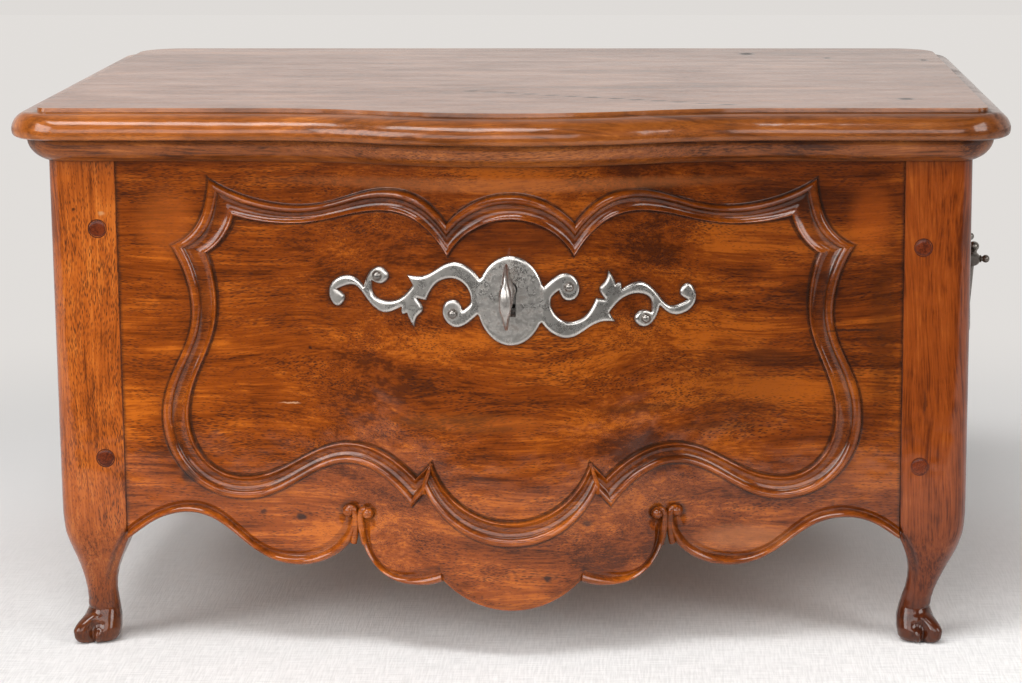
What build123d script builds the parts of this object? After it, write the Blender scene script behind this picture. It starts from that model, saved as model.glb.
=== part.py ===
from build123d import *
import os
from math import asin, cos, degrees, sin, sqrt

# Desk letter box of carved walnut: a pegged carcass on four short cabriole legs, a hinged lid
# with a moulded edge, an iron lock with its key and pierced escutcheon, and two drop handles.
# Millimetres. +X right, the front faces -Y, +Z up. While it is drawn, y = 0 is the flat front of
# the posts and the feet reach FLOOR_DROP below z = 0; export() then centres everything on the
# bounding box and sets the feet on the floor.

# Carcass
HEIGHT = 279.0
FLOOR_DROP = 4.5
BODY_WIDTH = 470.6
BODY_DEPTH = 318.0
BODY_TOP = 252.5
POST = 35.3
POST_RADIUS = 12.0
POST_FOOT_Z = 56.0
FRONT_THICKNESS = 16.0
BOARD_THICKNESS = 14.0
BOW = 24.0
BOW_HALF = 130.0
SIDE_FACE = BODY_WIDTH / 2
JOINT_X = SIDE_FACE - POST
JOINT_Y = POST
INNER_X = SIDE_FACE - BOARD_THICKNESS
BACK_INNER_Y = BODY_DEPTH - BOARD_THICKNESS
MIDDLE_Y = BODY_DEPTH / 2

# Tenons, pegs and the bottom, which sits in a groove
TENON = 7.0
TENON_LENGTH = 17.0
SIDE_TENON_LENGTH = 14.0
TENON_LOW = 84.0
TENON_HIGH = 240.0
FRONT_TENON_Y = 4.0
SIDE_TENON_X = 224.8
PEG_RADIUS = 4.25
PEG_LENGTH = 20.0
PEG_INSET = 10.0
LEFT_PEG_HEIGHTS = (97.3, 216.9)
RIGHT_PEG_HEIGHTS = (92.7, 207.1)
SIDE_PEG_HEIGHTS = (112.0, 197.0)
SLIP = 0.05
BOTTOM_LOW = 70.0
BOTTOM_THICKNESS = 9.0
GROOVE = 4.0

# Legs below the carcass: height, inner side and outer side of the squared section
LEG_SECTIONS = (
    (POST_FOOT_Z, JOINT_X, 235.0),
    (50.5, 202.0, 232.9),
    (45.0, 204.0, 231.0),
    (39.5, 206.2, 228.7),
    (34.0, 207.3, 226.4),
    (28.7, 207.6, 224.4),
    (23.3, 207.2, 222.7),
    (17.8, 205.9, 221.9),
    (13.5, 204.8, 222.0),
    (8.1, 204.2, 224.4),
    (2.6, 204.3, 227.4),
    (-1.5, 205.4, 226.6),
    (-FLOOR_DROP, 208.0, 223.4),
)
LEG_ROUNDING = 0.36

# Lid: how far each part of its edge stands proud of the body, and its heights
LID_RAIL = 16.0
LID_BOARD_LOW = 263.0
STEP_Z = 276.8
FIELD_PROUD = 6.0
FIELD_FRONT_RADIUS = 6.0
FIELD_REAR_RADIUS = 25.0
NOSE_PROUD = 19.0
NOSE_FRONT_RADIUS = 29.0
NOSE_REAR_RADIUS = 34.0
NOSE_TOP_ROUND = 9.0
NOSE_LOW_ROUND = 3.0
OVOLO = ((0.0, 252.5), (3.6, 254.0), (6.7, 256.3), (9.2, 259.6), (10.4, 263.0))

# Carving on the front
CARVING_PROUD = 3.0

# Lock, key and escutcheon
KEY_Z = 190.0
PLATE_Z = 184.0
STEM_RADIUS = 3.5
KEYHOLE_RADIUS = 4.3
KEYHOLE_HALF = 2.5
KEYHOLE_LOW = 176.0
PIN_RADIUS = 1.92
PIN_BORE = 2.0
BIT_RADIUS = 13.0
BIT_HALF = 1.5
STEM_FRONT = -34.0
STEM_BACK = 13.5
BOW_REACH = 15.0
BOW_TALL = 16.2
BOW_RIM = 4.6
BOW_HALF_WIDTH = 2.6
ESCUTCHEON_THICKNESS = 1.6
OVAL = (17.0, 23.4)
CASE_HALF = 45.0
CASE_LOW = 164.0
CASE_FRONT = 2.0
CASE_BACK = 14.5
SHEET = 1.5
BOLT_LOW = 169.0
BOLT_TOP = 181.0

# Hinges
HINGE_X = 130.0
HINGE_HALF = 25.0
KNUCKLE_RADIUS = 2.6
KNUCKLE_SPLIT = 8.35
HINGE_PIN_RADIUS = 1.2
LEAF = 1.5
LEAF_WIDTH = 14.0

# Side handles
HANDLE_Z = 182.0
HANDLE_HALF = 40.0
BAIL_HALF = 34.0
PIVOT_OUT = 13.0
BAIL_DROP = 41.0
BAIL_RADIUS = 2.2
BAIL_CORNER = 17.0
BAIL_PIN = 1.62
EYE_HALF = 3.3
EYE_RADIUS = 5.6
STUD_RADIUS = 2.6

REAR_PROUD_Y = BODY_DEPTH + NOSE_PROUD
KEY_TIP_Y = STEM_FRONT - 2 * BOW_REACH + 1.0
CENTRE_Y = (KEY_TIP_Y + REAR_PROUD_Y) / 2

# Outlines of the front, drawn flat, right half only. Each chain of cubic curves gives its
# knots and handles in turn: knot, handle, handle, knot, and so on.
CARTOUCHE_OUTER = [
    (32.0, 223.0), (40.3, 234.4), (49.5, 239.2), (60.5, 239.2),
    (78.0, 239.2), (88.0, 229.2), (110.0, 229.2),
    (126.3, 229.2), (144.0, 235.4), (154.3, 243.0),
    (155.8, 226.4), (159.6, 214.0), (174.2, 208.5),
    (167.8, 198.8), (163.9, 185.4), (163.9, 175.0),
    (163.9, 152.6), (179.7, 143.9), (179.7, 119.0),
    (179.7, 94.7), (161.3, 75.8), (137.5, 75.8),
    (116.3, 75.8), (102.8, 96.3), (83.0, 96.3),
    (70.2, 96.3), (58.0, 86.1), (50.6, 75.7),
]
CARTOUCHE_INNER = [
    (31.6, 206.0), (38.0, 217.0), (47.0, 228.0), (63.0, 228.0),
    (80.0, 228.0), (94.0, 219.8), (113.0, 219.8),
    (122.0, 219.8), (131.0, 220.4), (141.2, 223.3),
    (144.0, 214.6), (149.0, 208.4), (155.5, 204.6),
    (152.4, 198.0), (150.7, 187.0), (150.7, 178.0),
    (150.7, 154.7), (165.8, 142.5), (165.8, 120.5),
    (165.8, 103.4), (155.4, 88.2), (138.0, 88.2),
    (116.3, 88.2), (102.6, 107.5), (82.0, 107.5),
    (70.8, 107.5), (60.6, 103.7), (48.0, 91.5),
]
OUTER_ARCH_TOP = 238.0
INNER_ARCH_TOP = 224.9
OUTER_NOTCH = (43.3, 84.4)
INNER_NOTCH = (40.1, 100.0)
OUTER_LOBE_LOW = 56.2
INNER_LOBE_LOW = 69.6
APRON_LOBE = (35.6, 36.8)
APRON_LOW = 21.7
APRON = [
    APRON_LOBE, (40.0, 34.6), (45.0, 33.8), (51.0, 33.8),
    (70.6, 33.8), (79.5, 51.4), (79.9, 66.0),
    (80.3, 53.3), (94.8, 40.2), (112.0, 40.2),
    (138.8, 40.2), (146.0, 66.9), (170.0, 66.9),
    (185.2, 66.9), (192.1, 58.9), (JOINT_X, 54.0),
]
SIDE_APRON = [
    (JOINT_Y, 54.0), (38.0, 58.0), (46.0, 64.0), (58.0, 64.0),
    (84.0, 64.0), (96.0, 46.0), (MIDDLE_Y, 46.0),
]

# The right half of the escutcheon's scrollwork, from the middle of the oval plate. Each run of
# points is one smooth edge, and the runs meet at corners.
SCROLL_RUNS = [
    [(14.2, 4.8), (18.4, 8.7), (28.1, 13.7), (34.2, 7.4), (31.6, 0.4), (27.2, 0.2), (24.2, 5.1)],
    [(24.2, 5.1), (20.4, 1.5), (21.3, -5.7), (27.5, -10.9), (36.5, -9.0), (42.8, 0.5)],
    [(42.8, 0.5), (47.4, -0.4)],
    [(47.4, -0.4), (44.7, 6.1), (47.1, 8.7), (49.0, 14.3)],
    [(49.0, 14.3), (51.3, 10.7), (52.6, 7.4)],
    [(52.6, 7.4), (54.8, 8.1), (55.4, 4.5)],
    [(55.4, 4.5), (64.8, 7.8), (73.8, 0.9), (79.6, -5.3), (89.2, -2.7)],
    [(89.2, -2.7), (85.0, 1.0), (88.6, 5.8), (93.1, 0.2), (89.2, -8.3), (81.0, -9.8), (74.8, -5.0)],
    [(74.8, -5.0), (71.9, -12.2), (66.6, -15.4), (62.0, -11.0), (65.4, -7.0), (70.6, -8.2)],
    [(70.6, -8.2), (69.9, -1.1), (62.2, 1.9), (53.8, -1.7), (49.3, -7.0)],
    [(49.3, -7.0), (52.2, -11.9)],
    [(52.2, -11.9), (44.2, -11.9), (28.7, -19.4), (19.1, -15.5), (13.2, -7.6)],
]
SCROLL_STUDS = ((29.1, 6.8), (67.4, -11.0))
STUD_HEAD = 2.3


def block(x0, x1, y0, y1, z0, z1):
    """A box between two opposite corners."""
    middle = ((x0 + x1) / 2, (y0 + y1) / 2, (z0 + z1) / 2)
    return Pos(*middle) * Box(x1 - x0, y1 - y0, z1 - z0)


def rod_x(radius, x0, x1, y, z):
    """A round bar along X."""
    return Pos((x0 + x1) / 2, y, z) * Rot(0, 90, 0) * Cylinder(radius, x1 - x0)


def rod_y(radius, y0, y1, x, z):
    """A round bar along Y."""
    return Pos(x, (y0 + y1) / 2, z) * Rot(90, 0, 0) * Cylinder(radius, y1 - y0)


def rod_z(radius, z0, z1, x, y):
    """A round bar along Z."""
    return Pos(x, y, (z0 + z1) / 2) * Cylinder(radius, z1 - z0)


def flip(points):
    """The mirror image of a chain of points about x = 0, run the other way."""
    return [(-x, z) for x, z in reversed(points)]


def curve_chain(points):
    """Edges of a chain of cubic curves."""
    return [Bezier(*points[i:i + 4]) for i in range(0, len(points) - 1, 3)]


def standing_prism(edges, front, back):
    """A face drawn in x and z, given thickness from y = front to y = back."""
    face = Plane.XZ * make_face(edges)
    return extrude(Pos(0, back, 0) * face, amount=back - front)


def bow_edges(proud):
    """The serpentine front seen from above, moved outward, from its left end to its right end."""
    radius = (BOW_HALF**2 + BOW**2) / (4 * BOW)
    turn = asin(BOW_HALF / 2 / radius)
    hollow = radius - proud
    knots = [(-BOW_HALF, -proud)]
    for angle in (turn / 2, turn):
        knots.append((-BOW_HALF + hollow * sin(angle), -radius + hollow * cos(angle)))
    crown = (0, -BOW - proud)
    right = flip(knots)
    return [
        ThreePointArc(*knots),
        ThreePointArc(knots[2], crown, right[0]),
        ThreePointArc(*right),
    ]


def plan_face(proud, front_radius, rear_radius):
    """The box's outline from above, moved outward by proud, with rounded corners."""
    half = SIDE_FACE + proud
    rear = BODY_DEPTH + proud
    face = make_face([
        Line((-half, -proud), (-BOW_HALF, -proud)),
        *bow_edges(proud),
        Line((BOW_HALF, -proud), (half, -proud)),
        Line((half, -proud), (half, rear)),
        Line((half, rear), (-half, rear)),
        Line((-half, rear), (-half, -proud)),
    ])
    for radius, level in ((front_radius, -proud), (rear_radius, rear)):
        corners = [v for v in face.vertices() if abs(v.X) > half - 0.01 and abs(v.Y - level) < 0.01]
        face = fillet(corners, radius)
    return face


def slab(proud, front_radius, rear_radius, low, high):
    """The whole plan outline as a slab between two heights."""
    return extrude(Pos(0, 0, low) * plan_face(proud, front_radius, rear_radius), amount=high - low)


def front_skin(inner, outer, low, high):
    """A curved sheet that follows the bowed front, between two amounts proud of it."""
    reach = BOW_HALF + 60
    faces = []
    for proud in (inner, outer):
        faces.append(make_face([
            Line((-reach, -proud), (-BOW_HALF, -proud)),
            *bow_edges(proud),
            Line((BOW_HALF, -proud), (reach, -proud)),
            Line((reach, -proud), (reach, 1)),
            Line((reach, 1), (-reach, 1)),
            Line((-reach, 1), (-reach, -proud)),
        ]))
    sheet = faces[1] - faces[0]
    return extrude(Pos(0, 0, low) * sheet, amount=high - low)


def cartouche_prism():
    """The carved frame, drawn flat and extruded through the front."""
    faces = []
    for chain, arch, notch, lobe in (
        (CARTOUCHE_OUTER, OUTER_ARCH_TOP, OUTER_NOTCH, OUTER_LOBE_LOW),
        (CARTOUCHE_INNER, INNER_ARCH_TOP, INNER_NOTCH, INNER_LOBE_LOW),
    ):
        left = flip(chain)
        other_notch = (-notch[0], notch[1])
        faces.append(make_face([
            ThreePointArc(left[-1], (0, arch), chain[0]),
            *curve_chain(chain),
            Line(chain[-1], notch),
            ThreePointArc(notch, (0, lobe), other_notch),
            Line(other_notch, left[0]),
            *curve_chain(left),
        ]))
    return extrude(Plane.XZ * (faces[0] - faces[1]), amount=60, both=True)


def lock_pocket():
    """The recess for the lock, cut from the inner face of the front."""
    gap = 0.3
    case = block(-CASE_HALF - gap, CASE_HALF + gap, CASE_FRONT, FRONT_THICKNESS, CASE_LOW - gap, BODY_TOP)
    return case


def keyhole(front, back, gap=0.0):
    """Round hole with a slot below it, along Y."""
    hole = rod_y(KEYHOLE_RADIUS + gap, front, back, 0, KEY_Z)
    slot = block(-KEYHOLE_HALF - gap, KEYHOLE_HALF + gap, front, back, KEYHOLE_LOW - gap, KEY_Z)
    return hole + slot


def tenon_y(y0, gap=0.0):
    """The tenon at the right end of a front or back board."""
    return block(JOINT_X, JOINT_X + TENON_LENGTH + gap, y0, y0 + TENON, TENON_LOW, TENON_HIGH)


def tenon_x(gap=0.0):
    """The tenon at the front end of the right side board."""
    front = JOINT_Y - SIDE_TENON_LENGTH - gap
    return block(SIDE_TENON_X, SIDE_TENON_X + TENON, front, JOINT_Y, TENON_LOW, TENON_HIGH)


def front_peg_places():
    heights = {-1: LEFT_PEG_HEIGHTS, 1: RIGHT_PEG_HEIGHTS}
    return [(side * (JOINT_X + PEG_INSET), z) for side in (-1, 1) for z in heights[side]]


def make_front_board():
    plan = make_face([
        Line((-JOINT_X, 0), (-BOW_HALF, 0)),
        *bow_edges(0),
        Line((BOW_HALF, 0), (JOINT_X, 0)),
        Line((JOINT_X, 0), (JOINT_X, FRONT_THICKNESS)),
        Line((JOINT_X, FRONT_THICKNESS), (-JOINT_X, FRONT_THICKNESS)),
        Line((-JOINT_X, FRONT_THICKNESS), (-JOINT_X, 0)),
    ])
    board = extrude(plan, amount=BODY_TOP)
    left = flip(APRON)
    elevation = [
        ThreePointArc(left[-1], (0, APRON_LOW), APRON_LOBE),
        *curve_chain(APRON),
        Line((JOINT_X, 54), (JOINT_X, BODY_TOP)),
        Line((JOINT_X, BODY_TOP), (-JOINT_X, BODY_TOP)),
        Line((-JOINT_X, BODY_TOP), (-JOINT_X, 54)),
        *curve_chain(left),
    ]
    board = board & standing_prism(elevation, -60, 60)
    board += front_skin(0, CARVING_PROUD, APRON_LOW, BODY_TOP) & cartouche_prism()
    right_tenon = tenon_y(FRONT_TENON_Y)
    board += right_tenon + mirror(right_tenon, about=Plane.YZ)
    for x, z in front_peg_places():
        board -= rod_y(PEG_RADIUS, -1, PEG_LENGTH, x, z)
    board -= block(-JOINT_X, JOINT_X, FRONT_THICKNESS - GROOVE, FRONT_THICKNESS, BOTTOM_LOW,
                   BOTTOM_LOW + BOTTOM_THICKNESS)
    board -= lock_pocket()
    board -= keyhole(-60, CASE_FRONT + 1)
    for x, z in escutcheon_stud_places():
        board -= on_front(x, z) * rod_y(0.9, -5, 8, 0, 0)
    for x, z in lock_nail_places():
        board -= rod_y(1.2, -8, FRONT_THICKNESS, x, z)
    return board


def bow_depth(x):
    """How far the front stands forward at x."""
    radius = (BOW_HALF**2 + BOW**2) / (4 * BOW)
    x = abs(x)
    if x >= BOW_HALF:
        return 0.0
    if x >= BOW_HALF / 2:
        return radius - sqrt(radius**2 - (BOW_HALF - x)**2)
    return BOW - radius + sqrt(radius**2 - x**2)


def front_slope(x):
    """The angle in degrees by which the front turns away at x."""
    radius = (BOW_HALF**2 + BOW**2) / (4 * BOW)
    run = min(abs(x), max(BOW_HALF - abs(x), 0.0))
    return degrees(asin(run / radius)) * (1 if x > 0 else -1)


def on_front(x, z):
    """A place on the front whose -Y axis points squarely out of the wood."""
    return Pos(x, -bow_depth(x), z) * Rot(0, 0, front_slope(x))


def make_back_board():
    board = block(-JOINT_X, JOINT_X, BACK_INNER_Y, BODY_DEPTH, 58, BODY_TOP)
    right_tenon = tenon_y(BODY_DEPTH - FRONT_TENON_Y - TENON)
    board += right_tenon + mirror(right_tenon, about=Plane.YZ)
    for x, z in front_peg_places():
        board -= rod_y(PEG_RADIUS, BODY_DEPTH - PEG_LENGTH, BODY_DEPTH + 1, x, z)
    board -= block(-JOINT_X, JOINT_X, BACK_INNER_Y, BACK_INNER_Y + GROOVE, BOTTOM_LOW,
                   BOTTOM_LOW + BOTTOM_THICKNESS)
    for side in (-1, 1):
        board -= hinge_recess(side * HINGE_X, BODY_TOP - LEAF, BODY_TOP)
        for x in hinge_screw_xs(side * HINGE_X):
            board -= screw(x, -1)
    return board


def make_side_board():
    """The right side board; the left one is its mirror image."""
    rear_half = [(BODY_DEPTH - y, z) for y, z in reversed(SIDE_APRON)]
    low = SIDE_APRON[0][1]
    outline = make_face([
        *curve_chain(SIDE_APRON),
        *curve_chain(rear_half),
        Line((BODY_DEPTH - JOINT_Y, low), (BODY_DEPTH - JOINT_Y, BODY_TOP)),
        Line((BODY_DEPTH - JOINT_Y, BODY_TOP), (JOINT_Y, BODY_TOP)),
        Line((JOINT_Y, BODY_TOP), (JOINT_Y, low)),
    ])
    board = extrude(Pos(INNER_X, 0, 0) * (Plane.YZ * outline), amount=BOARD_THICKNESS)
    front_tenon = tenon_x()
    board += front_tenon + mirror(front_tenon, about=middle_plane())
    for y, z in side_peg_places():
        board -= rod_x(PEG_RADIUS, SIDE_FACE - PEG_LENGTH, SIDE_FACE + 1, y, z)
    board -= block(INNER_X, INNER_X + GROOVE, JOINT_Y, BODY_DEPTH - JOINT_Y, BOTTOM_LOW,
                   BOTTOM_LOW + BOTTOM_THICKNESS)
    for y in handle_post_ys():
        board -= rod_x(STUD_RADIUS + SLIP, INNER_X - 1, SIDE_FACE + 1, y, HANDLE_Z)
    return board


def middle_plane():
    """The upright plane halfway between the front and the back."""
    return Plane(origin=(0, MIDDLE_Y, 0), z_dir=(0, 1, 0))


def side_peg_places():
    front = JOINT_Y - PEG_INSET + 1.5
    return [(y, z) for y in (front, BODY_DEPTH - front) for z in SIDE_PEG_HEIGHTS]


def handle_post_ys():
    return (MIDDLE_Y - HANDLE_HALF, MIDDLE_Y + HANDLE_HALF)


def make_leg(peg_heights):
    """A front post and leg in one piece, drawn at the right; the others are mirror images."""
    post = block(JOINT_X, SIDE_FACE, 0, POST, POST_FOOT_Z, BODY_TOP)
    corner = [e for e in post.edges() if abs(e.center().X - SIDE_FACE) < 0.01 and abs(e.center().Y) < 0.01]
    post = fillet(corner, POST_RADIUS)
    sections = []
    for z, inner, outer in LEG_SECTIONS:
        width = outer - inner
        middle = (inner + outer) / 2
        square = RectangleRounded(width, width, LEG_ROUNDING * width)
        sections.append(Pos(middle, SIDE_FACE - middle, z) * square)
    envelope = block(JOINT_X, SIDE_FACE, 0, POST, -FLOOR_DROP, POST_FOOT_Z)
    leg = post + (loft(sections) & envelope)
    leg -= tenon_y(FRONT_TENON_Y, 1.0)
    leg -= tenon_x(1.0)
    for z in peg_heights:
        leg -= rod_y(PEG_RADIUS, -1, PEG_LENGTH, JOINT_X + PEG_INSET, z)
    for y, z in side_peg_places()[:2]:
        leg -= rod_x(PEG_RADIUS, SIDE_FACE - PEG_LENGTH, SIDE_FACE + 1, y, z)
    return leg


def make_pegs():
    """Front, rear and side pegs, each a group of separate pegs."""
    radius = PEG_RADIUS - SLIP
    front = [rod_y(radius, -0.3, PEG_LENGTH, x, z) for x, z in front_peg_places()]
    rear = [rod_y(radius, BODY_DEPTH - PEG_LENGTH, BODY_DEPTH + 0.3, x, z) for x, z in front_peg_places()]
    side = []
    for y, z in side_peg_places():
        peg = rod_x(radius, SIDE_FACE - PEG_LENGTH + 2, SIDE_FACE + 0.3, y, z)
        side += [peg, mirror(peg, about=Plane.YZ)]
    return front, rear, side


def make_bottom_planks():
    """Two planks let into the grooves, notched round the posts."""
    high = BOTTOM_LOW + BOTTOM_THICKNESS
    front_y = FRONT_THICKNESS - GROOVE
    planks = []
    for y0, y1 in ((front_y, MIDDLE_Y), (MIDDLE_Y, BACK_INNER_Y + GROOVE)):
        plank = block(-INNER_X - GROOVE, INNER_X + GROOVE, y0, y1, BOTTOM_LOW, high)
        for side in (-1, 1):
            post_x = sorted((side * JOINT_X, side * (SIDE_FACE + 1)))
            plank -= block(*post_x, -1, POST, BOTTOM_LOW - 1, high + 1)
            plank -= block(*post_x, BODY_DEPTH - POST, BODY_DEPTH + 1, BOTTOM_LOW - 1, high + 1)
        planks.append(plank)
    return planks


def make_lid_board():
    nose = slab(NOSE_PROUD, NOSE_FRONT_RADIUS, NOSE_REAR_RADIUS, LID_BOARD_LOW, STEP_Z)
    nose = fillet(nose.faces().sort_by(Axis.Z)[-1].edges(), NOSE_TOP_ROUND)
    nose = fillet(nose.faces().sort_by(Axis.Z)[0].edges(), NOSE_LOW_ROUND)
    board = nose + slab(FIELD_PROUD, FIELD_FRONT_RADIUS, FIELD_REAR_RADIUS, STEP_Z - 1, HEIGHT)
    for side in (-1, 1):
        for x in hinge_screw_xs(side * HINGE_X):
            board -= screw(x, 1)
    return board


def mitre_wedge(name):
    """The plan region that one side of the lid's under-moulding keeps."""
    reach = 60.0
    inset = 100.0
    out_x = SIDE_FACE + reach
    in_x = SIDE_FACE - inset
    front = [(-out_x, -reach), (out_x, -reach), (in_x, inset), (-in_x, inset)]
    right = [(out_x, -reach), (out_x, BODY_DEPTH + reach), (in_x, BODY_DEPTH - inset), (in_x, inset)]
    corners = {
        "front": front,
        "rear": [(x, BODY_DEPTH - y) for x, y in front],
        "right": right,
        "left": [(-x, y) for x, y in right],
    }[name]
    face = make_face(Polyline(*corners, close=True))
    return extrude(Pos(0, 0, BODY_TOP - 5) * face, amount=30)


def make_lid_mouldings():
    """The ovolo under the lid's nose: four mitred lengths."""
    ring = None
    for (low_proud, low_z), (high_proud, high_z) in zip(OVOLO, OVOLO[1:]):
        low = Pos(0, 0, low_z) * plan_face(low_proud, POST_RADIUS + low_proud, POST_RADIUS + low_proud)
        high = Pos(0, 0, high_z) * plan_face(high_proud, POST_RADIUS + high_proud, POST_RADIUS + high_proud)
        step = loft([low, high], ruled=True)
        ring = step if ring is None else ring + step
    ring -= block(-SIDE_FACE + LID_RAIL, SIDE_FACE - LID_RAIL, LID_RAIL, BODY_DEPTH - LID_RAIL,
                  BODY_TOP - 1, LID_BOARD_LOW + 1)
    lengths = {name: ring & mitre_wedge(name) for name in ("front", "left", "right", "rear")}
    lengths["front"] -= staple_plate()
    for x in staple_nail_xs():
        lengths["front"] -= rod_z(1.2, BODY_TOP, 262, x, 9)
    for side in (-1, 1):
        lengths["rear"] -= hinge_recess(side * HINGE_X, BODY_TOP, BODY_TOP + LEAF)
        for x in hinge_screw_xs(side * HINGE_X):
            lengths["rear"] -= screw(x, 1)
    return lengths


def hinge_recess(x, low, high):
    """Room for a leaf let into the wood and for the knuckles beside it."""
    leaf = block(x - HINGE_HALF, x + HINGE_HALF, BODY_DEPTH - LEAF_WIDTH, BODY_DEPTH + 1, low, high)
    reach = HINGE_HALF + 0.8
    return leaf + rod_x(KNUCKLE_RADIUS + 0.5, x - reach, x + reach, BODY_DEPTH, BODY_TOP)


def hinge_screw_xs(x):
    return (x - 17, x + 17)


def screw(x, way):
    """A countersunk wood screw whose head is flush with the hinge line; way is +1 up, -1 down."""
    head = Cone(2.8, 1.4, LEAF)
    shank = Pos(0, 0, LEAF / 2 + 4.25) * Cylinder(1.4, 8.5)
    body = Pos(0, 0, LEAF / 2) * (head + shank)
    if way < 0:
        body = Rot(180, 0, 0) * body
    return Pos(x, BODY_DEPTH - LEAF_WIDTH / 2 - 1.5, BODY_TOP) * body


def make_hinge(x):
    """Body leaf, lid leaf and pin of the butt hinge at x."""
    knuckle_gap = 0.4
    outer = (x - HINGE_HALF, x - KNUCKLE_SPLIT), (x + KNUCKLE_SPLIT, x + HINGE_HALF)
    inner = (x - KNUCKLE_SPLIT + 0.3, x + KNUCKLE_SPLIT - 0.3)
    front = BODY_DEPTH - LEAF_WIDTH
    knuckle_front = BODY_DEPTH - KNUCKLE_RADIUS - knuckle_gap
    bore = rod_x(HINGE_PIN_RADIUS + SLIP, x - HINGE_HALF - 1, x + HINGE_HALF + 1, BODY_DEPTH, BODY_TOP)
    body_leaf = block(x - HINGE_HALF, x + HINGE_HALF, front, BODY_DEPTH, BODY_TOP - LEAF, BODY_TOP)
    body_leaf -= block(inner[0] - 0.3, inner[1] + 0.3, knuckle_front, BODY_DEPTH + 1,
                       BODY_TOP - 3, BODY_TOP + 3)
    for x0, x1 in outer:
        body_leaf += rod_x(KNUCKLE_RADIUS, x0, x1, BODY_DEPTH, BODY_TOP)
    body_leaf -= bore
    lid_leaf = block(x - HINGE_HALF, x + HINGE_HALF, front, knuckle_front, BODY_TOP, BODY_TOP + LEAF)
    lid_leaf += block(inner[0], inner[1], front, BODY_DEPTH, BODY_TOP, BODY_TOP + LEAF)
    lid_leaf += rod_x(KNUCKLE_RADIUS, inner[0], inner[1], BODY_DEPTH, BODY_TOP)
    lid_leaf -= bore
    for screw_x in hinge_screw_xs(x):
        body_leaf -= screw(screw_x, -1)
        lid_leaf -= screw(screw_x, 1)
    pin = rod_x(HINGE_PIN_RADIUS, x - HINGE_HALF, x + HINGE_HALF, BODY_DEPTH, BODY_TOP)
    for x0, x1 in ((x - HINGE_HALF - 0.7, x - HINGE_HALF), (x + HINGE_HALF, x + HINGE_HALF + 0.7)):
        pin += rod_x(1.9, x0, x1, BODY_DEPTH, BODY_TOP)
    return body_leaf, lid_leaf, pin


def lock_nail_places():
    return [(x, z) for x in (-39.0, 39.0) for z in (189.0, 240.0)]


def make_lock_case():
    """Open tray let into the front, with the top plate that the staple drops through."""
    outer = block(-CASE_HALF, CASE_HALF, CASE_FRONT, CASE_BACK, CASE_LOW, BODY_TOP)
    inside = block(-CASE_HALF + SHEET, CASE_HALF - SHEET, CASE_FRONT + SHEET, CASE_BACK + 1,
                   CASE_LOW + SHEET, BODY_TOP - 2)
    case = outer - inside
    case += block(-CASE_HALF, CASE_HALF, CASE_BACK, FRONT_THICKNESS, BODY_TOP - 2, BODY_TOP)
    case -= block(-3.2, 3.2, CASE_FRONT + SHEET + 0.3, CASE_BACK - 0.3, BODY_TOP - 3, BODY_TOP + 1)
    case -= keyhole(CASE_FRONT - 1, CASE_FRONT + SHEET + 1)
    for x, z in lock_nail_places():
        case -= rod_y(1.2, CASE_FRONT - 1, CASE_FRONT + SHEET + 1, x, z)
    return case


def make_lock_cover():
    """The plate seen inside the box, with a hole for the riveted end of the lock's pin."""
    cover = block(-CASE_HALF, CASE_HALF, CASE_BACK, FRONT_THICKNESS, CASE_LOW, BODY_TOP - 2)
    cover -= rod_y(PIN_BORE, CASE_BACK - 1, FRONT_THICKNESS + 1, 0, KEY_Z)
    for x, z in lock_nail_places():
        cover -= rod_y(1.2, CASE_BACK - 1, FRONT_THICKNESS + 1, x, z)
    return cover


def make_lock_nails():
    nails = []
    for x, z in lock_nail_places():
        head = Pos(x, FRONT_THICKNESS + 0.6, z) * Rot(-90, 0, 0) * Cone(2.6, 1.6, 1.2)
        nails.append(rod_y(1.15, -7.5, FRONT_THICKNESS, x, z) + head)
    return nails


def make_lock_pin():
    pin = rod_y(PIN_RADIUS, -5, FRONT_THICKNESS, 0, KEY_Z)
    return pin + rod_y(3.2, FRONT_THICKNESS, FRONT_THICKNESS + 0.9, 0, KEY_Z)


def make_bolt():
    """Sliding bar with a notch for the key's bit."""
    y0 = CASE_FRONT + SHEET + 0.3
    y1 = CASE_BACK - 0.6
    bar = block(-32, 42, y0, y1, BOLT_LOW, BOLT_TOP)
    return bar - block(-3.6, 3.6, y0 - 1, y1 + 1, KEY_Z - BIT_RADIUS - 1.5, BOLT_TOP + 1)


def make_bolt_arm():
    """Upright arm on the bar, with the finger that enters the staple."""
    arm = block(14, 22, CASE_FRONT + SHEET + 2.3, CASE_BACK - 2.6, BOLT_TOP, 245)
    return arm + block(3.6, 14, 7, 11, 239.5, 243.5)


def make_bolt_keepers():
    """Two bridles riveted to the case, which the bar slides through."""
    keepers = []
    y0 = CASE_FRONT + SHEET
    for x in (-24.0, 31.0):
        bridle = block(x - 2.5, x + 2.5, y0, CASE_BACK, BOLT_LOW - 2.2, BOLT_TOP + 2.2)
        bridle -= block(x - 3, x + 3, y0 - 1, CASE_BACK - 0.35, BOLT_LOW - 0.25, BOLT_TOP + 0.25)
        keepers.append(bridle)
    return keepers


def make_bolt_spring():
    """Leaf spring that presses the bar down: a stud and a curved leaf."""
    y0 = CASE_FRONT + SHEET
    stud = rod_y(2.2, y0, 12, 38, 209)
    path = ThreePointArc((37, 208), (29, 197), (25.6, BOLT_TOP + 0.8))
    leaf = extrude(Plane.XZ * trace(path, 0.9), amount=3.5, both=True)
    return stud + Pos(0, y0 + 5, 0) * leaf


def staple_nail_xs():
    return (-10.0, 10.0)


def staple_plate():
    return block(-14, 14, 3.6, 14.4, BODY_TOP, BODY_TOP + SHEET)


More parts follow.
